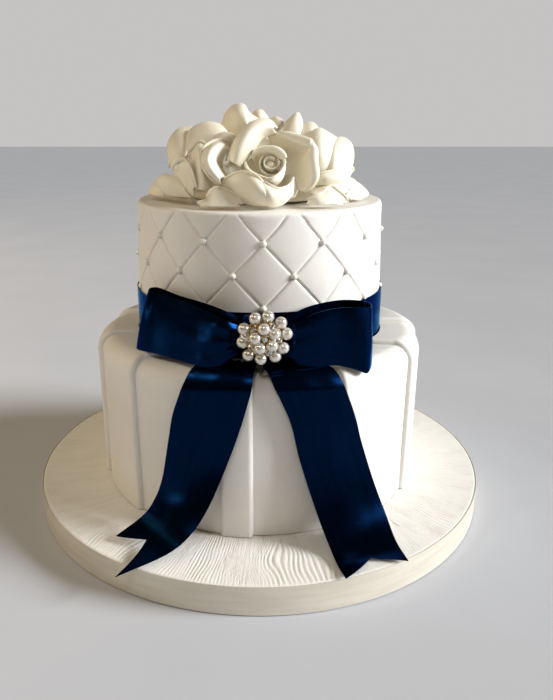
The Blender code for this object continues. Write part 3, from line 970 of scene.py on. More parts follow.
@dataclass
class QuiltedTier:
    """The upper tier, quilted in diamonds with a pearl at each crossing.

    The drift in degrees and the drop in millimetres are how far the hand-marked grid strays. The
    hub is the radius at which the paste's rings begin and end.
    """

    paste: bpy.types.Material
    radius: float = 79.8 * MM
    taper: float = 1.8 * MM
    foot: float = 113.2 * MM
    band_top: float = 146.6 * MM
    top: float = 201.2 * MM
    rim: float = 2.8 * MM
    columns: int = 15
    cell: float = 36.6 * MM
    steps: int = 32
    groove: float = 0.95 * MM
    groove_width: float = 0.5 * MM
    swell: float = 0.4 * MM
    azimuth: float = 1.5
    top_row: float = 185.5 * MM
    pearl_rows: int = 3
    pearl_radius: float = 1.95 * MM
    pearl_sink: float = 0.5 * MM
    pillow: float = 5.0 * MM
    drift: tuple[float, float] = (2.5, 3.0)
    drop: tuple[float, float] = (0.8, 1.1)
    hub: float = 0.5 * MM

    def radius_at(self, z: float) -> float:
        """The tier's outer radius at a height, with its taper."""
        return self.radius - self.taper * max(0.0, (z - self.band_top) / (self.top - self.band_top))

    def pressed(self, azimuth: float, z: float) -> float:
        """How deep the quilting is at a place.

        Args:
            azimuth: In degrees.
            z: The height in metres.

        Returns:
            The depth below the tier's outer radius.
        """
        column = (azimuth - self.azimuth) * self.columns / 360
        level = (z - self.top_row) / self.cell
        width = math.tau * self.radius / self.columns
        spacing = width * self.cell / math.hypot(width, self.cell)
        depth = 0.0
        flat = 1.0
        for line in (column + level, column - level):
            away = abs(line - round(line)) * spacing
            depth = max(depth, math.exp(-((away / self.groove_width) ** 2)))
            flat *= 1 - math.exp(-away / self.pillow)
        fade = 1 - ease(self.top - self.rim, self.top - 0.3 * MM, z)
        return (self.groove * depth + self.swell * (1 - flat)) * fade

    def wander(self, azimuth: float, z: float) -> tuple[float, float]:
        """Where the hand-marked quilting really is.

        Args:
            azimuth: A place's azimuth on a true grid, in degrees.
            z: Its height in metres.

        Returns:
            The azimuth and the height that it is marked at.
        """
        turn = math.radians(azimuth)
        fade = ease(self.band_top - 4 * MM, self.band_top + 4 * MM, z) * (
            1 - ease(self.top - 7 * MM, self.top - 3 * MM, z)
        )
        shift = self.drift[0] * math.sin(turn) + self.drift[1] * (1 - math.cos(turn))
        return azimuth + shift, z - (self.drop[0] + self.drop[1] * math.sin(turn)) * MM * fade

    def tier(self) -> None:
        """The quilted paste, in rings so close that its edges run along the grooves."""
        count = self.columns * self.steps
        ring_step = self.cell / (2 * self.steps)
        lowest = -int((self.top_row - self.band_top + 6 * MM) / ring_step)
        highest = int((self.top - self.rim - self.top_row) / ring_step)
        outline = [(self.hub, self.foot), (self.radius, self.foot)]
        outline += [
            (self.radius_at(self.top_row + k * ring_step), self.top_row + k * ring_step)
            for k in range(lowest, highest + 1)
        ]
        edge = self.radius_at(self.top)
        for k in range(1, 11):
            turn = math.pi / 2 * k / 10
            outline.append(
                (
                    edge - self.rim * (1 - math.cos(turn)),
                    self.top - self.rim * (1 - math.sin(turn)),
                )
            )
        outline += [(edge * share, self.top) for share in (0.86, 0.75, 0.6, 0.4, 0.2)]
        outline.append((self.hub, self.top))
        piece = Bench.turned("quilted_tier", outline, count)
        half = math.pi / count
        for vertex in piece.data.vertices:
            z = vertex.co.z
            out = math.hypot(vertex.co.x, vertex.co.y)
            turn = math.atan2(vertex.co.x, -vertex.co.y)
            column = round(turn / (2 * half))
            row = (z - self.top_row) / ring_step
            shift = math.radians(self.azimuth)
            if abs(row - round(row)) < 0.01 and round(row) % 2:
                shift += half
            turn = column * 2 * half + shift
            azimuth = math.degrees(turn)
            sag = 0.12 * MM * noise.noise(Vector((math.sin(turn) * 3, math.cos(turn) * 3, z * 40)))
            if out > 0.7 * edge:
                out += sag - (self.pressed(azimuth, z) if z > self.band_top - 5 * MM else 0.0)
                azimuth, z = self.wander(azimuth, z)
            if z > self.top - 0.01 * MM:
                z += 0.25 * MM * noise.noise(vertex.co * 28)
            vertex.co = around(out, azimuth, z)
        Bench.take(piece)
        bpy.ops.object.mode_set(mode="EDIT")
        bpy.ops.mesh.select_all(action="SELECT")
        bpy.ops.mesh.quads_convert_to_tris(quad_method="SHORTEST_DIAGONAL")
        bpy.ops.object.mode_set(mode="OBJECT")
        Bench.smooth(piece, 60)
        Bench.finish(piece, self.paste, "sugar_paste_white", "top_tier")

    def pearls(self) -> None:
        """The pearls at the crossings."""
        bpy.ops.object.select_all(action="DESELECT")
        bpy.ops.mesh.primitive_uv_sphere_add(segments=18, ring_count=12, radius=self.pearl_radius)
        first = bpy.context.object
        parts = []
        for row in range(self.pearl_rows):
            z = self.top_row - row * self.cell / 2
            for column in range(self.columns):
                azimuth = self.azimuth + (column + 0.5 * (row % 2)) * 360 / self.columns
                part = first.copy()
                part.data = first.data.copy()
                turn, height = self.wander(azimuth, z)
                part.location = around(self.radius_at(height) - self.pearl_sink, turn, height)
                bpy.context.scene.collection.objects.link(part)
                parts.append(part)
        bpy.data.objects.remove(first, do_unlink=True)
        piece = Bench.join("quilt_pearls", parts)
        Bench.smooth(piece, 180)
        Bench.finish(piece, SUGAR_PEARL.material(), "pearl")

    def build(self) -> None:
        """Builds the tier and its pearls."""
        self.tier()
        self.pearls()


@dataclass(frozen=True)
class RibbonPath:
    """A ribbon between two edges, each a list of points in millimetres.

    The crown is how far its middle stands out and the creases are how deep the knot gathers it,
    both in millimetres. The notch is how many steps of its points its end is cut in by.
    """

    node: str
    first: tuple[Point, ...]
    second: tuple[Point, ...]
    crown: float
    notch: float
    length: float
    hold: Hold
    rests_on: tuple[str, ...]
    creases: float


LOOP_LEFT = RibbonPath(
    "bow_loop_left",
    (
        (-12, -97, 127), (-21, -100, 122.5), (-33, -97, 121), (-50.9, -82, 120.8),
        (-65.3, -72, 120.6), (-73.5, -61.5, 119.2), (-67, -53.5, 119.2), (-50, -67, 119.6),
        (-30, -78.5, 121.5), (-12, -86, 127),
    ),
    (
        (-12, -97, 144), (-20, -99.5, 148.5), (-31.3, -90, 151.6), (-46.9, -76, 153.7),
        (-59.1, -66, 154.7), (-63.5, -64.5, 156.3), (-59, -60, 156), (-46, -70.5, 154),
        (-28, -79.5, 151), (-12, -86, 146),
    ),
    1.2, 0.0, 0.13, Hold.FOLDED, ("bow_knot", "satin_band"), 0.9,
)  # fmt: skip
LOOP_RIGHT = RibbonPath(
    "bow_loop_right",
    (
        (14, -97, 127), (21, -100, 123), (31, -98.5, 121.4), (43, -94, 120.2), (54, -94, 117.5),
        (60.5, -92, 115), (63, -80, 119.2), (48, -70, 119.6), (30, -78.5, 121.5), (14, -86, 127),
    ),
    (
        (14, -97, 143), (20, -100, 146.5), (31, -97.5, 151.5), (43, -93, 152.8),
        (54, -90.5, 152.3), (62, -84, 151), (60, -72, 151), (46, -71.5, 151.5), (28, -79.5, 150),
        (14, -86, 145),
    ),
    1.1, 0.0, 0.12, Hold.FOLDED, ("bow_knot", "satin_band"), 0.7,
)  # fmt: skip
TAIL_LEFT = RibbonPath(
    "bow_tail_left",
    (
        (-15, -88, 121), (-26, -90, 119.8), (-36, -94, 119.6), (-41.5, -99.5, 112),
        (-45.5, -100, 102), (-49, -98.5, 91), (-52, -97, 75), (-56.5, -97.5, 51), (-62, -98.5, 37),
        (-69, -99.5, 27.5), (-82.5, -111.5, 22),
    ),
    (
        (-1.5, -92, 122), (-1.8, -99, 121), (-3, -106, 119.5), (-4, -110.8, 113), (-6, -111, 105),
        (-11.5, -111, 86), (-19, -111.5, 65), (-28.5, -117, 44), (-38, -124, 31.5),
        (-51, -129.5, 22.5), (-76, -146.5, 20.6),
    ),
    1.3, 0.8, 0.17, Hold.HUNG, ("bow_knot", "board_paste"), 0.8,
)  # fmt: skip
TAIL_RIGHT = RibbonPath(
    "bow_tail_right",
    (
        (1.5, -92, 122), (2.4, -99, 121), (5, -106, 119.5), (8, -110.8, 113.5), (11.5, -111, 106),
        (17.5, -110.5, 91), (22.5, -110.5, 69.5), (32.5, -116, 39), (39, -124, 23.8),
        (42.3, -136, 20.4), (45.5, -147.5, 20.4),
    ),
    (
        (15, -88, 121), (27, -90, 119.8), (39.5, -94.5, 119.6), (46, -99.5, 111.5), (50, -99, 102),
        (54.5, -97, 89), (58.5, -95, 74), (66, -98, 51), (73, -104, 33), (77.5, -117, 22.5),
        (81.5, -132.5, 20.4),
    ),
    1.3, 0.8, 0.17, Hold.HUNG, ("bow_knot", "board_paste"), 0.8,
)  # fmt: skip


@dataclass
class SatinBow:
    """The navy band round the upper tier and the bow on it."""

    ribbon_width: float = 38.0 * MM
    thickness: float = 0.45 * MM
    band_radius: float = 80.7 * MM
    band_foot: float = 113.4 * MM
    band_top: float = 146.6 * MM
    knot_half: tuple[float, float, float] = (10.4, 8.0, 11.6)
    knot_centre: Point = (0.0, -89.9, 136.0)

    def band(self) -> None:
        """The band, drawn tight but with the faint waver of real ribbon."""
        length = math.tau * self.band_radius

        def layout(u: float, v: float) -> Vector:
            """u runs up the band and v round the tier."""
            azimuth = 180 + 360 * v
            spot = Vector((math.sin(math.tau * v) * 7, math.cos(math.tau * v) * 7, 0.6 * u))
            waver = 0.14 * MM * noise.noise(spot)
            edge = 0.5 * MM * noise.noise(spot * 0.7 + Vector((5, 5, 5))) * ease(0.3, 1.0, -u)
            height = mix(self.band_foot, self.band_top, 0.5 + 0.5 * u) + edge
            return around(self.band_radius + waver - 0.1 * MM * u**4, azimuth, height)

        piece = Bench.sheet("satin_band", 14, 420, layout)
        Bench.modify(piece, "SOLIDIFY", thickness=0.4 * MM, offset=0.0)
        Bench.outward(piece)
        Bench.smooth(piece)
        material = navy("navy_band_satin", self.band_top - self.band_foot, length).material()
        Bench.finish(piece, material, "navy_satin", "ribbon_band")
        self.band_top - self.band_foot

    def strip(self, path: RibbonPath) -> None:
        """One loop or tail, crowned across and creased where the knot draws it in."""
        first = smooth_route(path.first)
        second = smooth_route(path.second)
        spans = len(path.first) - 1
        tail = path.notch > 0

        def layout(u: float, v: float) -> Vector:
            """u runs from one edge to the other and v along the ribbon."""
            share = v * (1 - path.notch * (1 - abs(u)) / spans)
            middle = mix(first(share), second(share), 0.5 + 0.5 * u)
            out = Vector((middle.x, middle.y, 0.0)).normalized()
            drawn = math.exp(-share * 7) if tail else math.exp(-min(v, 1 - v) * 9)
            crease = math.cos(u * math.pi * 2.6 + 0.6) * drawn * path.creases
            ripple = noise.noise(Vector((u * 0.9, v * 3.1, len(path.node)))) * 0.45
            flat = 1 - ease(0.78, 0.95, share) if tail else 1.0
            return middle + out * (path.crown * (1 - u * u) + crease + ripple * flat) * MM

        piece = Bench.sheet(path.node + "_satin", 22, 150, layout)
        Bench.modify(piece, "SOLIDIFY", thickness=self.thickness, offset=0.0)
        Bench.outward(piece)
        Bench.smooth(piece, 60)
        material = navy(path.node + "_navy", self.ribbon_width, path.length).material()
        Bench.finish(piece, material, "navy_satin", path.node)
        list(path.rests_on)

    def knot(self) -> None:
        """The ribbon wrapped round the middle of the bow, gathered in soft folds."""
        half = Vector(self.knot_half) * MM

        def layout(u: float, v: float) -> Vector:
            """u runs across the wrap and v round it."""
            turn = math.tau * v
            across = math.copysign(abs(u) ** 0.8, u)
            swell = (1 - abs(u) ** 3) ** 0.5 * 0.35 + 0.65
            fold = 1 + 0.045 * math.cos(u * math.pi * 3.2 + 0.5)
            square_y = math.copysign(abs(math.cos(turn)) ** 0.6, -math.cos(turn))
            square_z = math.copysign(abs(math.sin(turn)) ** 0.6, math.sin(turn))
            full = swell * fold
            spot = Vector((across * half.x, square_y * half.y * full, square_z * half.z * full))
            return Vector(self.knot_centre) * MM + spot

        piece = Bench.sheet("bow_knot_satin", 26, 72, layout)
        Bench.outward(piece)
        Bench.modify(piece, "SOLIDIFY", thickness=self.thickness, offset=-1.0)
        Bench.smooth(piece, 60)
        girth = 2 * (half.y + half.z) * 1.7
        material = navy("navy_knot_satin", 0.021, girth).material()
        Bench.finish(piece, material, "navy_satin", "bow_knot")

    def build(self) -> None:
        """Builds the band, the loops, the tails and the knot."""
        self.band()
        for path in (LOOP_LEFT, LOOP_RIGHT, TAIL_LEFT, TAIL_RIGHT):
            self.strip(path)
        self.knot()


@dataclass
class PearlBrooch:
    """The brooch: pearls in a dome, with crystals and gold wire between them."""

    centre: Point = (2.2, -103.6, 139.4)
    tilt: float = 8.0
    pearl: float = 3.35 * MM
    plate_radius: float = 10.0 * MM
    plate_depth: float = 1.2 * MM
    wire_radius: float = 0.24 * MM
    stone_radius: float = 1.5 * MM
    stone_table: float = 0.85 * MM
    stone_crown: float = 0.8 * MM
    stone_pavilion: float = 1.6 * MM
    pearls: tuple[Point, ...] = (
        (2.4, -110.3, 145.9), (7.8, -110.3, 143.4), (-2.2, -111.2, 141.2), (0.4, -111.9, 136.0),
        (6.6, -111.7, 137.4), (-2.2, -105.3, 150.3), (4.5, -105.1, 151.3), (11.3, -105.0, 147.9),
        (-8.2, -105.3, 144.6), (14.3, -105.5, 142.1), (-8.9, -106.1, 137.7), (-7.1, -105.0, 140.3),
        (12.5, -106.9, 134.7), (-5.9, -105.5, 130.3), (0.8, -107.4, 128.8), (8.3, -107.4, 130.3),
    )  # fmt: skip
    stones: tuple[Point, ...] = (
        (2.9, -113.3, 141.4), (10.2, -110.7, 140.1), (5.0, -111.7, 133.3), (-3.0, -110.0, 145.6),
        (6.7, -109.1, 147.7), (-4.2, -111.1, 136.9),
    )  # fmt: skip

    def build(self) -> None:
        """Builds the pearls, the plate with its wire, and the crystals."""
        turn = Matrix.Rotation(math.radians(90 - self.tilt), 4, "X")
        to_world = Matrix.Translation(Vector(self.centre) * MM) @ turn
        own = to_world.inverted()
        spots = [own @ (Vector(place) * MM) / MM for place in self.pearls]
        parts = []
        for place in self.pearls:
            bpy.ops.object.select_all(action="DESELECT")
            bpy.ops.mesh.primitive_uv_sphere_add(
                segments=32, ring_count=20, radius=self.pearl, location=Vector(place) * MM
            )
            parts.append(bpy.context.object)
        piece = Bench.join("brooch_pearls", parts)
        Bench.smooth(piece, 180)
        Bench.finish(piece, PEARL.material(), "pearl", "brooch")

        bpy.ops.object.select_all(action="DESELECT")
        bpy.ops.mesh.primitive_cylinder_add(
            vertices=40, radius=self.plate_radius, depth=self.plate_depth
        )
        plate = bpy.context.object
        Bench.modify(plate, "BEVEL", width=0.4 * MM, segments=3)
        plate.matrix_world = to_world @ Matrix.Translation((0, 0, 0.2 * MM))
        metal = [plate, *(self.wire(to_world, spot, k) for k, spot in enumerate(spots))]
        piece = Bench.join("brooch_wirework", metal)
        Bench.smooth(piece, 50)
        Bench.finish(piece, GOLD_WIRE.material(), "pearl")

        stones = [
            self.stone(to_world, own @ (Vector(place) * MM) / MM, 17.0 * k)
            for k, place in enumerate(self.stones)
        ]
        piece = Bench.join("brooch_crystals", stones)
        Bench.finish(piece, CRYSTAL.material(), "pearl")

    def wire(self, to_world: Matrix, spot: Vector, k: int) -> bpy.types.Object:
        """A loop of wire that rises from the plate, passes a pearl and comes back.

        Args:
            to_world: The brooch's own frame.
            spot: The pearl's place in millimetres.
            k: The pearl's number, which turns the loop.

        Returns:
            The wire as a mesh.
        """
        curve = bpy.data.curves.new("wire", "CURVE")
        curve.dimensions = "3D"
        curve.bevel_depth = self.wire_radius
        curve.bevel_resolution = 2
        curve.resolution_u = 6
        curve.use_fill_caps = True
        spline = curve.splines.new("BEZIER")
        side = Vector((math.cos(k * 2.4), math.sin(k * 2.4), 0.0))
        places = (
            Vector((spot.x * 0.5, spot.y * 0.5, 0.8)),
            spot * 0.9 - side * 2.9 + Vector((0, 0, -0.5)),
            spot * 0.9 - side * 1.2 + Vector((0, 0, -3.0)),
            spot * 0.9 + side * 2.9 + Vector((0, 0, -1.0)),
            Vector((spot.x * 0.7 + side.x, spot.y * 0.7 + side.y, 0.8)),
        )
        spline.bezier_points.add(len(places) - 1)
        for point, place in zip(spline.bezier_points, places):
            point.co = to_world @ (place * MM)
            point.handle_left_type = point.handle_right_type = "AUTO"
        wire = bpy.data.objects.new("wire", curve)
        bpy.context.scene.collection.objects.link(wire)
        Bench.take(wire)
        bpy.ops.object.convert(target="MESH")
        return bpy.context.object

    def stone(self, to_world: Matrix, spot: Vector, spin: float) -> bpy.types.Object:
        """A small faceted stone.

        Args:
            to_world: The brooch's own frame.
            spot: Its place in millimetres.
            spin: Its turn in degrees.

        Returns:
            The stone.
        """
        bpy.ops.object.select_all(action="DESELECT")
        bpy.ops.mesh.primitive_cone_add(
            vertices=8,
            radius1=self.stone_radius,
            radius2=self.stone_table,
            depth=self.stone_crown,
            location=(0, 0, self.stone_crown / 2),
        )
        stone = bpy.context.object
        Bench.settle(stone)
        bpy.ops.object.mode_set(mode="EDIT")
        bpy.ops.mesh.select_all(action="DESELECT")
        bpy.ops.object.mode_set(mode="OBJECT")
        for polygon in stone.data.polygons:
            polygon.select = polygon.normal.z < -0.9
        bpy.ops.object.mode_set(mode="EDIT")
        down = (0, 0, -self.stone_pavilion)
        bpy.ops.mesh.extrude_region_move(TRANSFORM_OT_translate={"value": down})
        bpy.ops.transform.resize(value=(0.15, 0.15, 1.0))
        bpy.ops.object.mode_set(mode="OBJECT")
        stone.matrix_world = (
            to_world @ Matrix.Translation(spot * MM) @ Matrix.Rotation(math.radians(spin), 4, "Z")
        )
        return stone


@dataclass(frozen=True)
class Petal:
    """A sugar petal laid through three curves, each a list of points in millimetres from its left.

    The rim is its outline, the middle runs half way down it and the root is its foot. The roll is
    the radius in millimetres of its rolled rim: above 0 it rolls over to the side that the curves'
    order faces, which is the viewer's where they run from left to right. The roll starts at a
    share of the petal's length and goes on for some degrees. The ruffle is in metres.
    """

    rim: tuple[Point, ...]
    middle: tuple[Point, ...]
    root: tuple[Point, ...]
    roll: float
    roll_start: float = 0.7
    roll_turn: float = 165.0
    ruffle: float = 0.7 * MM

    def layout(self, number: int) -> Layout:
        """The petal's surface.

        Args:
            number: Its number, which varies its ruffle.

        Returns:
            A function of u, -1..1 across, and v, from its root at 0 to its rolled rim at 1.
        """
        rim = smooth_route(self.rim)
        middle = smooth_route(self.middle)
        root = smooth_route(self.root)
        seed = Vector((number * 1.7, 3.1, 0.4))

        def at(u: float, v: float) -> Vector:
            """The place on the petal."""
            share = 0.5 + 0.5 * u
            low, half, top = root(share), middle(share), rim(share)
            along = (rim(share + 0.01) - rim(share - 0.01)).normalized()
            rising = (low - 4 * half + 3 * top).normalized()
            out = along.cross(rising).normalized() * math.copysign(1.0, self.roll)
            radius = abs(self.roll) * MM * (1 - 0.75 * u**6)
            top -= rising * radius
            if v <= self.roll_start:
                t = v / self.roll_start
                spot = low * (1 - t) * (1 - 2 * t) + half * 4 * t * (1 - t) + top * t * (2 * t - 1)
                ruffle = noise.noise(spot * 55 + seed) * self.ruffle * math.sin(math.pi * t)
                return spot + out * ruffle
            turn = math.radians(self.roll_turn) * (v - self.roll_start) / (1 - self.roll_start)
            return top + radius * (math.sin(turn) * rising + (1 - math.cos(turn)) * out)

        return at


PETALS = {
    "front_right": Petal(
        (
            (4.5, -36, 239.5), (11.5, -42, 241), (19.5, -48, 237.5), (26.5, -52, 235),
            (28, -53, 234.5), (28.5, -53, 233.5), (28, -56, 227), (30, -55, 219), (29, -52, 213.5),
            (24.5, -50, 210),
        ),
        (
            (7, -36, 232.5), (15, -36, 232.5), (21, -38, 230.5), (23.5, -40, 225), (23, -42, 218),
            (19.5, -44, 211.5),
        ),
        ((6.5, -30, 225.5), (12.5, -30, 222), (12.5, -36, 213.5)),
        -2.4,
    ),
    "front_upper": Petal(
        (
            (-18.5, -47, 227), (-16, -49, 234.5), (-12.5, -47, 241), (-6, -43, 247),
            (1, -39, 249.5), (7, -37, 248.5), (10.5, -38, 244),
        ),
        (
            (-14, -54, 225.5), (-11, -56, 232), (-7, -55, 238), (-2, -51, 243), (3.5, -47, 245),
            (8, -44, 244.5),
        ),
        ((-9.5, -46, 221), (-6, -44, 227), (-2, -42, 233), (2, -40, 238.5), (10, -38, 241.5)),
        -2.2,
    ),
    "front_dome": Petal(
        (
            (-21, -52, 214), (-18, -54, 217), (-13, -58, 220), (-7.5, -62, 221), (-2, -66, 219),
            (2.5, -68, 215.5),
        ),
        ((-19, -55, 212), (-13, -62, 213.5), (-6.5, -68, 213.5), (-1, -72, 212), (3.5, -73, 210)),
        ((-13, -56, 206), (-5, -62, 203.5), (4, -67, 204)),
        0.9,
    ),
    "front_cup": Petal(
        ((1.5, -67, 217), (5.5, -69, 214.5), (11, -68, 212.5), (16, -63, 214.5), (19, -56, 218.5)),
        ((3, -72, 210.5), (6.5, -73, 209), (12, -69, 209), (17, -62, 211), (19.5, -54, 214)),
        ((4, -66, 204), (8, -65, 203), (13.5, -60, 204), (19, -52, 208.5)),
        0.7,
    ),
    "bud_bowl": Petal(
        (
            (-8, -48, 227), (-6, -56, 223), (-0.5, -62, 220), (6, -65, 218.5), (11, -62, 221.5),
            (13.5, -56, 226), (12.5, -50, 228.5),
        ),
        ((-6, -49, 220.5), (0, -58, 216), (7, -61, 214.5), (12.5, -57, 217.5), (14.5, -50, 223.5)),
        ((0, -44, 214), (6, -46, 212.5), (12.5, -44, 215)),
        0.7,
    ),
    "bud_hood": Petal(
        ((-4.5, -48, 228), (-2, -50, 230.5), (3.5, -52, 232), (9.5, -55, 232), (14.5, -58, 228.5)),
        ((-3, -46, 225.5), (1, -46, 228), (7, -48, 228.5), (12, -50, 226.5)),
        ((0, -42, 221), (6, -42, 222), (11.5, -42, 221)),
        -1.6,
    ),
    "bud_floor": Petal(
        ((-1, -42, 219), (8, -40, 218), (16.5, -40, 218), (24, -42, 215.5)),
        ((2, -50, 212), (9, -50, 211.5), (16.5, -49, 211.5), (22.5, -46, 210.5)),
        ((4, -52, 207), (12, -52, 206), (20.5, -48, 206.5)),
        -0.5,
    ),
    "bud_wall": Petal(
        ((-9.5, -40, 231), (-4, -37, 235.5), (3, -35, 238.5), (10.5, -34, 238)),
        ((-9.5, -40, 224), (-2, -35, 227), (5, -33, 228.5), (12.5, -33, 227.5)),
        ((-8, -48, 214.5), (0, -42, 214), (10.5, -38, 213.5)),
        -0.8,
    ),
    "left_crescent": Petal(
        (
            (-17.5, -38, 235.5), (-23, -44, 237), (-29.5, -50, 234), (-32, -54, 228.5),
            (-30, -57, 223.5), (-26, -58, 218.5), (-21, -57, 214),
        ),
        (
            (-17, -46, 234), (-21, -54, 234.5), (-25, -60, 231.5), (-26.5, -62, 227.5),
            (-25, -63, 223), (-21.5, -62, 218),
        ),
        (
            (-15.5, -30, 231), (-19, -28, 229.5), (-21.5, -28, 225), (-20.5, -34, 220.5),
            (-18, -44, 216),
        ),
        -0.9,
    ),
    "left_small": Petal(
        (
            (-28, -34, 238), (-24.5, -34, 240.5), (-19.5, -35, 242), (-14.5, -36, 240.5),
            (-11.5, -38, 236.5),
        ),
        ((-25, -40, 236.5), (-21.5, -41, 238), (-17.5, -41, 238.5), (-14.5, -41, 236.5)),
        ((-22.5, -38, 232.5), (-14.5, -38, 232.5)),
        -1.2,
    ),
    "left_ridged": Petal(
        (
            (-43, -34, 226), (-39.5, -36, 231), (-35.5, -37, 235), (-33, -38, 235.5),
            (-29, -38, 232), (-25, -38, 229.5),
        ),
        (
            (-39.5, -43, 219.5), (-37, -44, 223.5), (-33.5, -51, 226.5), (-30.5, -48, 223.5),
            (-26.5, -47, 220.5),
        ),
        ((-36, -50, 211), (-32, -54, 211), (-27.5, -52, 210.5), (-21, -50, 210.5)),
        1.0,
    ),
    "left_hollow": Petal(
        ((-24.5, -24, 235), (-17, -20, 237), (-9.5, -22, 233), (-4.5, -30, 227.5)),
        ((-23.5, -20, 225.5), (-16.5, -14, 225.5), (-10, -20, 223.5)),
        ((-21.5, -44, 215), (-15, -34, 215), (-6.5, -38, 215.5)),
        -0.8,
    ),
    "left_middle_dome": Petal(
        (
            (-44, -25, 235), (-43, -16, 241.5), (-37.5, -10, 246), (-30.5, -12, 247.5),
            (-23.5, -18, 246), (-19, -27, 242),
        ),
        (
            (-42, -36, 231), (-37.5, -32, 237.5), (-31, -32, 240.5), (-25, -35, 240),
            (-19.5, -37, 238),
        ),
        ((-39.5, -38, 223.5), (-31, -40, 226), (-22.5, -42, 230)),
        -1.8,
    ),
    "left_dome": Petal(
        ((-52, -28, 220), (-56.5, -14, 231), (-55.5, -6, 238), (-50.5, 0, 243.5), (-43, 4, 245)),
        (
            (-48.5, -36, 220.5), (-50.5, -30, 230.5), (-48.5, -25, 236.5), (-45, -18, 240),
            (-41.5, -7, 241.5),
        ),
        ((-45.5, -38, 218.5), (-43.5, -36, 226.5), (-42.5, -30, 233.5), (-40, -18, 238)),
        -1.8,
    ),
    "left_foot": Petal(
        (
            (-51, -30, 221), (-46, -36, 225.5), (-41.5, -42, 227), (-39, -46, 222.5),
            (-35.5, -52, 212),
        ),
        ((-49.5, -34, 215.5), (-44.5, -42, 218), (-40.5, -47, 216.5), (-37.5, -51, 211)),
        ((-47.5, -38, 209.5), (-42.5, -44, 208), (-37, -48, 206.5)),
        1.2,
    ),
    "back_tall": Petal(
        (
            (-23.5, -2, 245), (-21.5, 0, 252), (-16.5, -1, 257), (-10, -5, 258), (-7, -9, 254),
            (-6.5, -14, 247.5),
        ),
        (
            (-21, -10, 241.5), (-18, -12, 247), (-14, -16, 250.5), (-9.5, -19, 249.5),
            (-7, -21, 246.5),
        ),
        ((-17.5, -13, 236), (-12.5, -18, 239), (-7, -22, 242)),
        -1.6,
    ),
    "back_white": Petal(
        ((-9, 2, 255.5), (-5, 0, 252), (-0.5, 0, 249), (5.5, -2, 247)),
        ((-7.5, -6, 250.5), (-4.5, -8, 248), (0, -10, 246)),
        ((-6.5, -14, 243), (-2, -16, 242), (2, -18, 242)),
        -1.0,
    ),
    "back_cream": Petal(
        ((-5, 14, 252), (-2, 14, 254.5), (2, 13, 254.5), (6, 10, 249.5)),
        ((-3, 6, 250), (0.5, 5, 251), (4.5, 4, 248.5)),
        ((-1, -4, 246), (5.5, -4, 246)),
        -1.4,
    ),
    "back_small": Petal(
        ((6.5, 10, 248.5), (10, 10, 250.5), (15, 6, 248), (14.5, 0, 244.5), (11, -8, 241.5)),
        ((8, 2, 246.5), (11, 0, 247), (12.5, -6, 245), (10.5, -12, 242.5)),
        ((7.5, -10, 242.5), (9.5, -16, 240.5)),
        -1.2,
    ),
    "right_tipped": Petal(
        (
            (13.5, -14, 241.5), (16, -8, 247), (19.5, -3, 250), (24, 2, 253), (26.5, 0, 248.5),
            (26.5, -6, 244.5),
        ),
        ((15, -22, 239), (17.5, -20, 243), (21, -18, 245.5), (23.5, -18, 244.5), (25, -18, 241.5)),
        ((17, -24, 236), (21.5, -24, 237), (24, -22, 238)),
        -1.0,
    ),
    "right_dome": Petal(
        ((25.5, -6, 243.5), (29.5, -2, 247), (33.5, -2, 247), (36.5, -6, 243.5), (34.5, -14, 240)),
        ((24.5, -18, 240), (28, -17, 242.5), (31.5, -17, 243), (33.5, -20, 240)),
        ((23, -26, 237), (27.5, -26, 238), (31.5, -26, 238)),
        -1.4,
    ),
    "right_white": Petal(
        ((23, -30, 235), (28.5, -26, 240), (35, -20, 244), (40.5, -18, 242), (47.5, -14, 238)),
        ((25.5, -38, 227), (31, -41, 232.5), (35.5, -41, 234.5), (40, -37, 233.5), (44, -30, 231)),
        ((29, -38, 217.5), (34, -40, 218.5), (39.5, -38, 218.5), (43.5, -34, 219)),
        -1.0,
    ),
    "right_edge": Petal(
        (
            (39.5, -32, 232.5), (42.5, -20, 236.5), (48, -12, 238.5), (53, -6, 238),
            (57.5, -4, 234.5), (59, -6, 229), (58, -12, 223), (56, -16, 220),
        ),
        (
            (39.5, -38, 225.5), (43.5, -36, 230.5), (49, -30, 231.5), (53, -23, 228),
            (54.5, -20, 223),
        ),
        ((39.5, -40, 218.5), (46, -38, 220), (54.5, -24, 219.5)),
        -1.4,
    ),
    "right_low": Petal(
        (
            (31.5, -42, 218), (38, -43, 219.5), (47, -38, 220.5), (54.5, -26, 221.5),
            (56.5, -22, 218.5),
        ),
        ((32, -43, 215.5), (39, -45, 216.5), (47.5, -41, 217), (54, -30, 217)),
        ((33, -42, 212.5), (40.5, -42, 213), (53.5, -30, 213.5)),
        0.8,
    ),
    "fallen_front": Petal(
        (
            (-35, -62, 205), (-28.5, -62, 206), (-27.5, -60, 210.5), (-23, -58, 212.5),
            (-18, -58, 210.5), (-13, -60, 208), (-9, -62, 204),
        ),
        (
            (-33.5, -64, 204), (-27.5, -66, 205.5), (-23, -64, 208), (-18, -65, 207),
            (-12, -65, 204.5),
        ),
        ((-32.5, -66, 203.5), (-21.5, -68, 203.5), (-10, -66, 203.5)),
        0.8,
    ),
    "fallen_left": Petal(
        (
            (-61.5, -28, 215), (-56.5, -30, 218), (-50.5, -34, 217.5), (-45.5, -38, 215.5),
            (-41.5, -42, 212),
        ),
        ((-58.5, -34, 210), (-53.5, -38, 213.5), (-48, -42, 213), (-42.5, -46, 210.5)),
        ((-54, -38, 206.5), (-48, -42, 206), (-39, -48, 206)),
        -0.9,
    ),
    "fallen_far_left": Petal(
        (
            (-69.5, -14, 205), (-68, -10, 209), (-65, -8, 212.5), (-61.5, -8, 215.5),
            (-57.5, -12, 214.5),
        ),
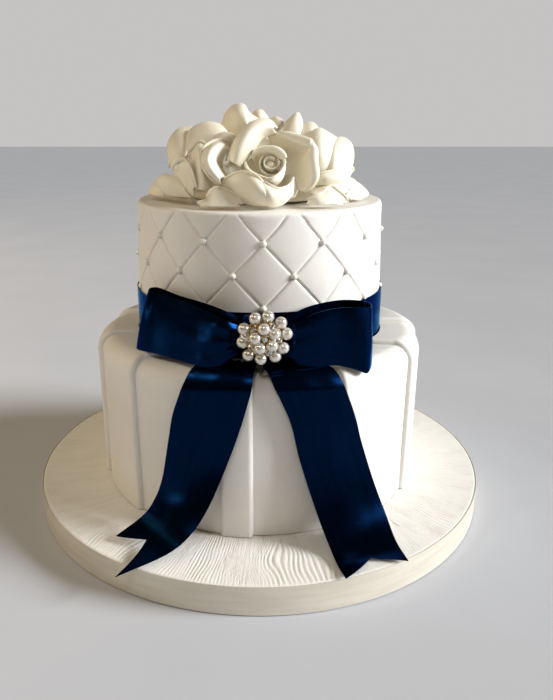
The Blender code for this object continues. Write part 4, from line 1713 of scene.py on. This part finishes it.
        ((-63.5, -22, 204.5), (-61.5, -22, 209), (-59, -20, 211.5), (-56.5, -22, 211)),
        ((-57.5, -28, 205), (-55, -28, 206.5), (-53, -28, 207.5)),
        -0.9,
    ),
    "fallen_right": Petal(
        (
            (26.5, -60, 206.5), (32.5, -60, 208.5), (37, -56, 210), (40.5, -52, 212.5),
            (44, -52, 210), (48.5, -52, 206.5), (50.5, -52, 203.5),
        ),
        ((27, -60, 205.5), (32.5, -62, 206.5), (38, -60, 207.5), (42, -58, 207), (47.5, -55, 204)),
        ((26, -60, 204), (34, -62, 203.5), (40, -60, 204), (47.5, -56, 202.5)),
        0.9,
    ),
    "fallen_wide": Petal(
        (
            (29, -44, 208.5), (32.5, -36, 213), (38.5, -32, 215.5), (46.5, -28, 216),
            (55, -24, 215.5), (58.5, -24, 213), (56.5, -28, 209.5),
        ),
        (
            (30.5, -48, 208), (34.5, -44, 210.5), (39.5, -42, 212.5), (45.5, -38, 213),
            (51.5, -34, 212), (53, -34, 209.5),
        ),
        ((32.5, -52, 207), (38, -50, 207.5), (44.5, -46, 208.5), (50, -40, 207.5)),
        -0.9,
    ),
    "fallen_tip": Petal(
        ((59, -10, 212.5), (63, -12, 210.5), (68, -16, 205), (61, -25, 204), (54.5, -32, 203.5)),
        (
            (55.5, -19, 211), (59.5, -20, 208.5), (62, -23, 205.5), (57.5, -28, 204.5),
            (53, -34, 204.5),
        ),
        ((51, -28, 210), (51.5, -33, 207), (51, -36, 205)),
        -0.8,
    ),
}  # fmt: skip


@dataclass(frozen=True)
class Bud:
    """The wound middle of a rose: its mouth's centre, the way it faces and its sizes.

    Lengths are in millimetres. The flare is how far its lip leans out, and the wave is the rise
    and fall of the lip.
    """

    centre: Point
    axis: Point
    turns: float = 2.1
    inner: float = 1.9
    outer: float = 7.0
    depth: float = 13.0
    dome: float = 2.5
    flare: float = 0.8
    wave: float = 0.35


@dataclass(frozen=True)
class RoseForm:
    """A rose: its bud, and its petals by name with each one's turn round the tier's axis.

    Turns are in degrees. A rose whose far side is out of sight has a whole rose there too, a twin
    of the front one with its own turn and size. One rose brings the mound that all are set in.
    """

    node: str
    bud: Bud
    petals: tuple[tuple[str, float], ...]
    twin: tuple[float, float] | None = None
    mounded: bool = False


ROSES = (
    RoseForm(
        "rose_front",
        Bud((6.2, -53.6, 226.0), (0.05, -0.84, 0.54), 1.9, 2.0, 6.5, 14.0, 3.4),
        (
            ("front_right", 0),
            ("front_upper", 0),
            ("front_dome", 0),
            ("front_cup", 0),
            ("bud_bowl", 0),
            ("bud_hood", 0),
            ("bud_floor", 0),
            ("bud_wall", 0),
        ),
    ),
    RoseForm(
        "rose_left",
        Bud((-25.0, -19.0, 226.0), (-0.25, -0.25, 0.93)),
        (
            ("left_crescent", 0),
            ("left_small", 0),
            ("left_ridged", 0),
            ("left_hollow", 0),
            ("left_middle_dome", 0),
            ("left_dome", 0),
            ("left_foot", 0),
            ("left_dome", -48),
        ),
        (-92.0, 0.8),
    ),
    RoseForm(
        "rose_right",
        Bud((33.0, -1.0, 233.0), (0.1, 0.1, 0.99)),
        (
            ("right_tipped", 0),
            ("right_dome", 0),
            ("right_white", 0),
            ("right_edge", 0),
            ("right_low", 0),
            ("right_edge", 52),
        ),
        (78.0, 0.8),
    ),
    RoseForm(
        "rose_back",
        Bud((-1.0, 20.0, 240.0), (0.0, 0.15, 0.99)),
        (
            ("back_tall", 0),
            ("back_white", 0),
            ("back_cream", 0),
            ("back_small", 0),
            ("left_dome", -88),
            ("right_edge", 92),
        ),
        (180.0, 1.0),
        mounded=True,
    ),
)
FALLEN = (
    ("fallen_front", 0),
    ("fallen_left", 0),
    ("fallen_far_left", 0),
    ("fallen_right", 0),
    ("fallen_wide", 0),
    ("fallen_tip", 0),
    ("fallen_wide", 160),
    ("fallen_wide", 95),
)


@dataclass
class SugarWork:
    """The roses and the petals that lie round them, modelled from their forms.

    The heart is the outline of the solid under a bud as (radius, height) pairs in millimetres. A
    petal's number varies its ruffle, and each rose takes a run of numbers.
    """

    paste: bpy.types.Material
    floor: float = 201.6 * MM
    petal_thickness: float = 1.1 * MM
    bud_thickness: float = 0.9 * MM
    mound_reach: float = 43.0 * MM
    mound_rise: float = 15.0 * MM
    mound_back: float = -5.0 * MM
    mound_squash: float = 0.95
    hub: float = 0.4 * MM
    rose_run: int = 10
    twins_from: int = 50
    fallen_from: int = 40
    heart: tuple[tuple[float, float], ...] = (
        (0.4, 0.5),
        (1.1, 0.2),
        (1.7, -0.9),
        (2.6, -2.2),
        (4.4, -3.4),
        (5.4, -8.5),
        (6.4, -15.0),
        (7.0, -26.0),
    )

    def petal(self, name: str, turn: float, number: int) -> bpy.types.Object:
        """Models one petal.

        Args:
            name: Its name in PETALS.
            turn: Its turn round the tier's axis, in degrees.
            number: Its number, which varies its ruffle.

        Returns:
            The petal.
        """
        piece = Bench.sheet("petal", 24, 20, PETALS[name].layout(number))
        piece.matrix_world = Matrix.Rotation(math.radians(turn), 4, "Z")
        Bench.settle(piece)
        Bench.modify(piece, "SOLIDIFY", thickness=self.petal_thickness, offset=0.0)
        return piece

    def bud(self, bud: Bud) -> list[bpy.types.Object]:
        """The wound strip of a rose's middle, and the solid heart under it.

        Args:
            bud: Its place and sizes.

        Returns:
            The strip and the heart.
        """
        facing = Vector(bud.axis).normalized()
        right = (Vector((1, 0, 0)) - facing * facing.x).normalized()
        turned = Matrix((right, facing.cross(right), facing)).transposed().to_4x4()
        to_world = Matrix.Translation(Vector(bud.centre) * MM) @ turned

        def layout(u: float, v: float) -> Vector:
            """u runs from the strip's foot to its lip and v along it."""
            turn = math.tau * bud.turns * v + 0.6
            lip = bud.flare * ease(0.3, 1.0, u) ** 2
            radius = mix(bud.inner, bud.outer, v) + lip
            wave = bud.wave * math.sin(turn * 1.5 + 0.4)
            height = mix(-bud.depth, bud.dome * (0.5 - v * v) + wave, 0.5 + 0.5 * u)
            spot = Vector((radius * math.cos(turn), radius * math.sin(turn), height))
            return to_world @ (spot * MM)

        strip = Bench.sheet("bud", 10, 72, layout)
        Bench.modify(strip, "SOLIDIFY", thickness=self.bud_thickness, offset=0.0)
        foot = min(-27.0, (self.floor / MM - bud.centre[2]) / max(0.4, facing.z))
        outline = [(r * MM, z * MM) for r, z in (*self.heart, (8.0, foot), (0.4, foot))]
        heart = Bench.turned("heart", outline, 36)
        heart.matrix_world = to_world
        Bench.settle(heart)
        return [strip, heart]

    def rose(self, form: RoseForm, number: int) -> list[bpy.types.Object]:
        """Models a rose.

        Args:
            form: Its bud and petals.
            number: The number before its first petal's.

        Returns:
            Its parts.
        """
        petals = [
            self.petal(name, turn, number + k)
            for k, (name, turn) in enumerate(form.petals, start=1)
        ]
        return self.bud(form.bud) + petals

    def mound(self) -> bpy.types.Object:
        """The low bun of paste that the roses are set in."""
        outline = [(self.hub, self.floor), (self.mound_reach, self.floor)]
        for k in range(1, 13):
            share = math.cos(math.pi / 2 * k / 12)
            rise = self.mound_rise * (1 - share**3) ** 0.5
            outline.append((max(self.hub, self.mound_reach * share), self.floor + rise))
        piece = Bench.turned("mound", outline, 64)
        squash = Matrix.Diagonal((1, self.mound_squash, 1, 1))
        piece.matrix_world = Matrix.Translation((0, self.mound_back, 0)) @ squash
        Bench.settle(piece)
        return piece

    def finish(self, parts: list[bpy.types.Object], name: str, node: str) -> None:
        """Joins petals, softens them, keeps them above the tier and dresses them.

        Args:
            parts: The petals.
            name: The piece's name.
            node: The CAD node that it stands for.
        """
        piece = Bench.join(name, parts)
        Bench.outward(piece)
        Bench.modify(piece, "SUBSURF", levels=1, render_levels=1)
        for vertex in piece.data.vertices:
            vertex.co.z = max(vertex.co.z, self.floor)
        Bench.smooth(piece, 80)
        Bench.finish(piece, self.paste, "sugar_ivory", node)

    def build(self) -> None:
        """Builds the roses and the fallen petals."""
        for first, form in enumerate(ROSES):
            parts = self.rose(form, self.rose_run * first)
            if form.twin:
                turn, size = form.twin
                raised = Matrix.Translation((0, 0, self.floor))
                place = Matrix.Rotation(math.radians(turn), 4, "Z") @ raised
                place = place @ Matrix.Scale(size, 4) @ raised.inverted()
                for part in self.rose(ROSES[0], self.twins_from + self.rose_run * first):
                    part.matrix_world = place
                    Bench.settle(part)
                    parts.append(part)
            if form.mounded:
                parts.append(self.mound())
            self.finish(parts, form.node + "_sugar", form.node)
        for k, (name, turn) in enumerate(FALLEN, start=1):
            petal = self.petal(name, turn, self.fallen_from + k)
            self.finish([petal], f"fallen_petal_{k}", f"loose_petal_{k}")


@dataclass
class Studio:
    """The pale floor, the soft lights and the camera."""

    lens: float = 34.79
    shift: float = 0.0244
    camera_place: Point = (0.0, -0.44509, 0.24973)
    pitch: float = 18.948
    room: Colour = (0.11, 0.086, 0.05)
    wall: Colour = (0.56, 0.55, 0.545)
    daylight: float = 5.6
    window_side: float = 82.0
    window_height: float = 22.5
    window_spread: float = 24.0
    aim: Point = (0.0, 0.0, 0.12)

    def camera(self) -> None:
        """The camera at the viewing angle."""
        data = bpy.data.cameras.new("camera")
        data.sensor_fit = "VERTICAL"
        data.sensor_height = 36
        data.lens = self.lens
        data.shift_x = self.shift
        data.clip_start = 0.01
        camera = bpy.data.objects.new("camera", data)
        bpy.context.scene.collection.objects.link(camera)
        camera.location = self.camera_place
        camera.rotation_euler = (math.radians(90 - self.pitch), 0, 0)
        bpy.context.scene.camera = camera

    def floor(self) -> None:
        """A pale matt floor."""
        bpy.ops.object.select_all(action="DESELECT")
        bpy.ops.mesh.primitive_plane_add(size=12.0, location=(0, 0, -0.0002))
        floor = bpy.context.object
        floor.name = "floor"
        tree = ShaderTree("pale_floor")
        cloud = tree.clouds(tree.place(), 0.12, 3.0)
        tree.set(
            base_color=tree.blend(cloud, (0.50, 0.515, 0.55), (0.58, 0.59, 0.62)),
            roughness=0.7,
            specular_ior_level=0.2,
        )
        floor.data.materials.append(tree.material)

    def light(
        self,
        name: str,
        azimuth: float,
        elevation: float,
        distance: float,
        size: float,
        power: float,
        colour: Colour,
    ) -> None:
        """A square soft light that points at the cake.

        Args:
            name: The light's name.
            azimuth: Where it stands, in degrees from the front.
            elevation: Its height in degrees.
            distance: How far it is, in metres.
            size: Its side.
            power: In watts.
            colour: Its colour.
        """
        data = bpy.data.lights.new(name, "AREA")
        data.shape = "SQUARE"
        data.size = size
        data.energy = power
        data.color = colour
        light = bpy.data.objects.new(name, data)
        bpy.context.scene.collection.objects.link(light)
        aim = Vector(self.aim)
        level = distance * math.cos(math.radians(elevation))
        light.location = aim + around(level, azimuth, distance * math.sin(math.radians(elevation)))
        light.rotation_euler = (aim - light.location).to_track_quat("-Z", "Y").to_euler()

    def surroundings(self) -> None:
        """The dim warm room that lights the cake, and the pale wall that is seen behind it."""
        world = bpy.data.worlds.new("studio")
        bpy.context.scene.world = world
        world.use_nodes = True
        tree = world.node_tree
        room = tree.nodes["Background"]
        room.inputs["Color"].default_value = (*self.room, 1.0)
        room.inputs["Strength"].default_value = 1.0
        wall = tree.nodes.new("ShaderNodeBackground")
        wall.inputs["Color"].default_value = (*self.wall, 1.0)
        path = tree.nodes.new("ShaderNodeLightPath")
        choice = tree.nodes.new("ShaderNodeMixShader")
        tree.links.new(path.outputs["Is Camera Ray"], choice.inputs[0])
        tree.links.new(room.outputs[0], choice.inputs[1])
        tree.links.new(wall.outputs[0], choice.inputs[2])
        tree.links.new(choice.outputs[0], tree.nodes["World Output"].inputs["Surface"])

    def window(self) -> None:
        """The broad even daylight from the right."""
        data = bpy.data.lights.new("window", "SUN")
        data.energy = self.daylight
        data.angle = math.radians(self.window_spread)
        data.color = (0.94, 0.965, 1.0)
        sun = bpy.data.objects.new("window", data)
        bpy.context.scene.collection.objects.link(sun)
        level = math.cos(math.radians(self.window_height))
        source = around(level, self.window_side, math.sin(math.radians(self.window_height)))
        sun.rotation_euler = (-source).to_track_quat("-Z", "Y").to_euler()

    def build(self) -> None:
        """Sets up the studio."""
        self.camera()
        self.floor()
        self.surroundings()
        self.window()
        self.light("left_bounce", -105, 24, 1.5, 0.9, 4.9, (1.0, 0.72, 0.37))
        self.light("lamp", -12, 49, 1.5, 0.2, 2.6, (1.0, 0.97, 0.92))
        self.light("left_lamp", -66, 46, 1.5, 0.2, 2.0, (1.0, 0.95, 0.86))
        self.light("low_lamp", -68, 3, 1.5, 0.2, 0.9, (1.0, 0.90, 0.76))
        bpy.context.scene.view_settings.view_transform = "Standard"


def main() -> None:
    """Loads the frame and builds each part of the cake."""
    logging.basicConfig(level=logging.INFO, format="%(name)s %(message)s")
    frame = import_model()
    Studio().build()
    paste = WHITE_PASTE.material()
    CakeBoard().build(frame["nodes"])
    PleatedTier(paste).build(frame["nodes"])
    QuiltedTier(paste).build()
    SatinBow().build()
    PearlBrooch().build()
    SugarWork(FLOWER_PASTE.material()).build()


if __name__ == "__main__":
    main()
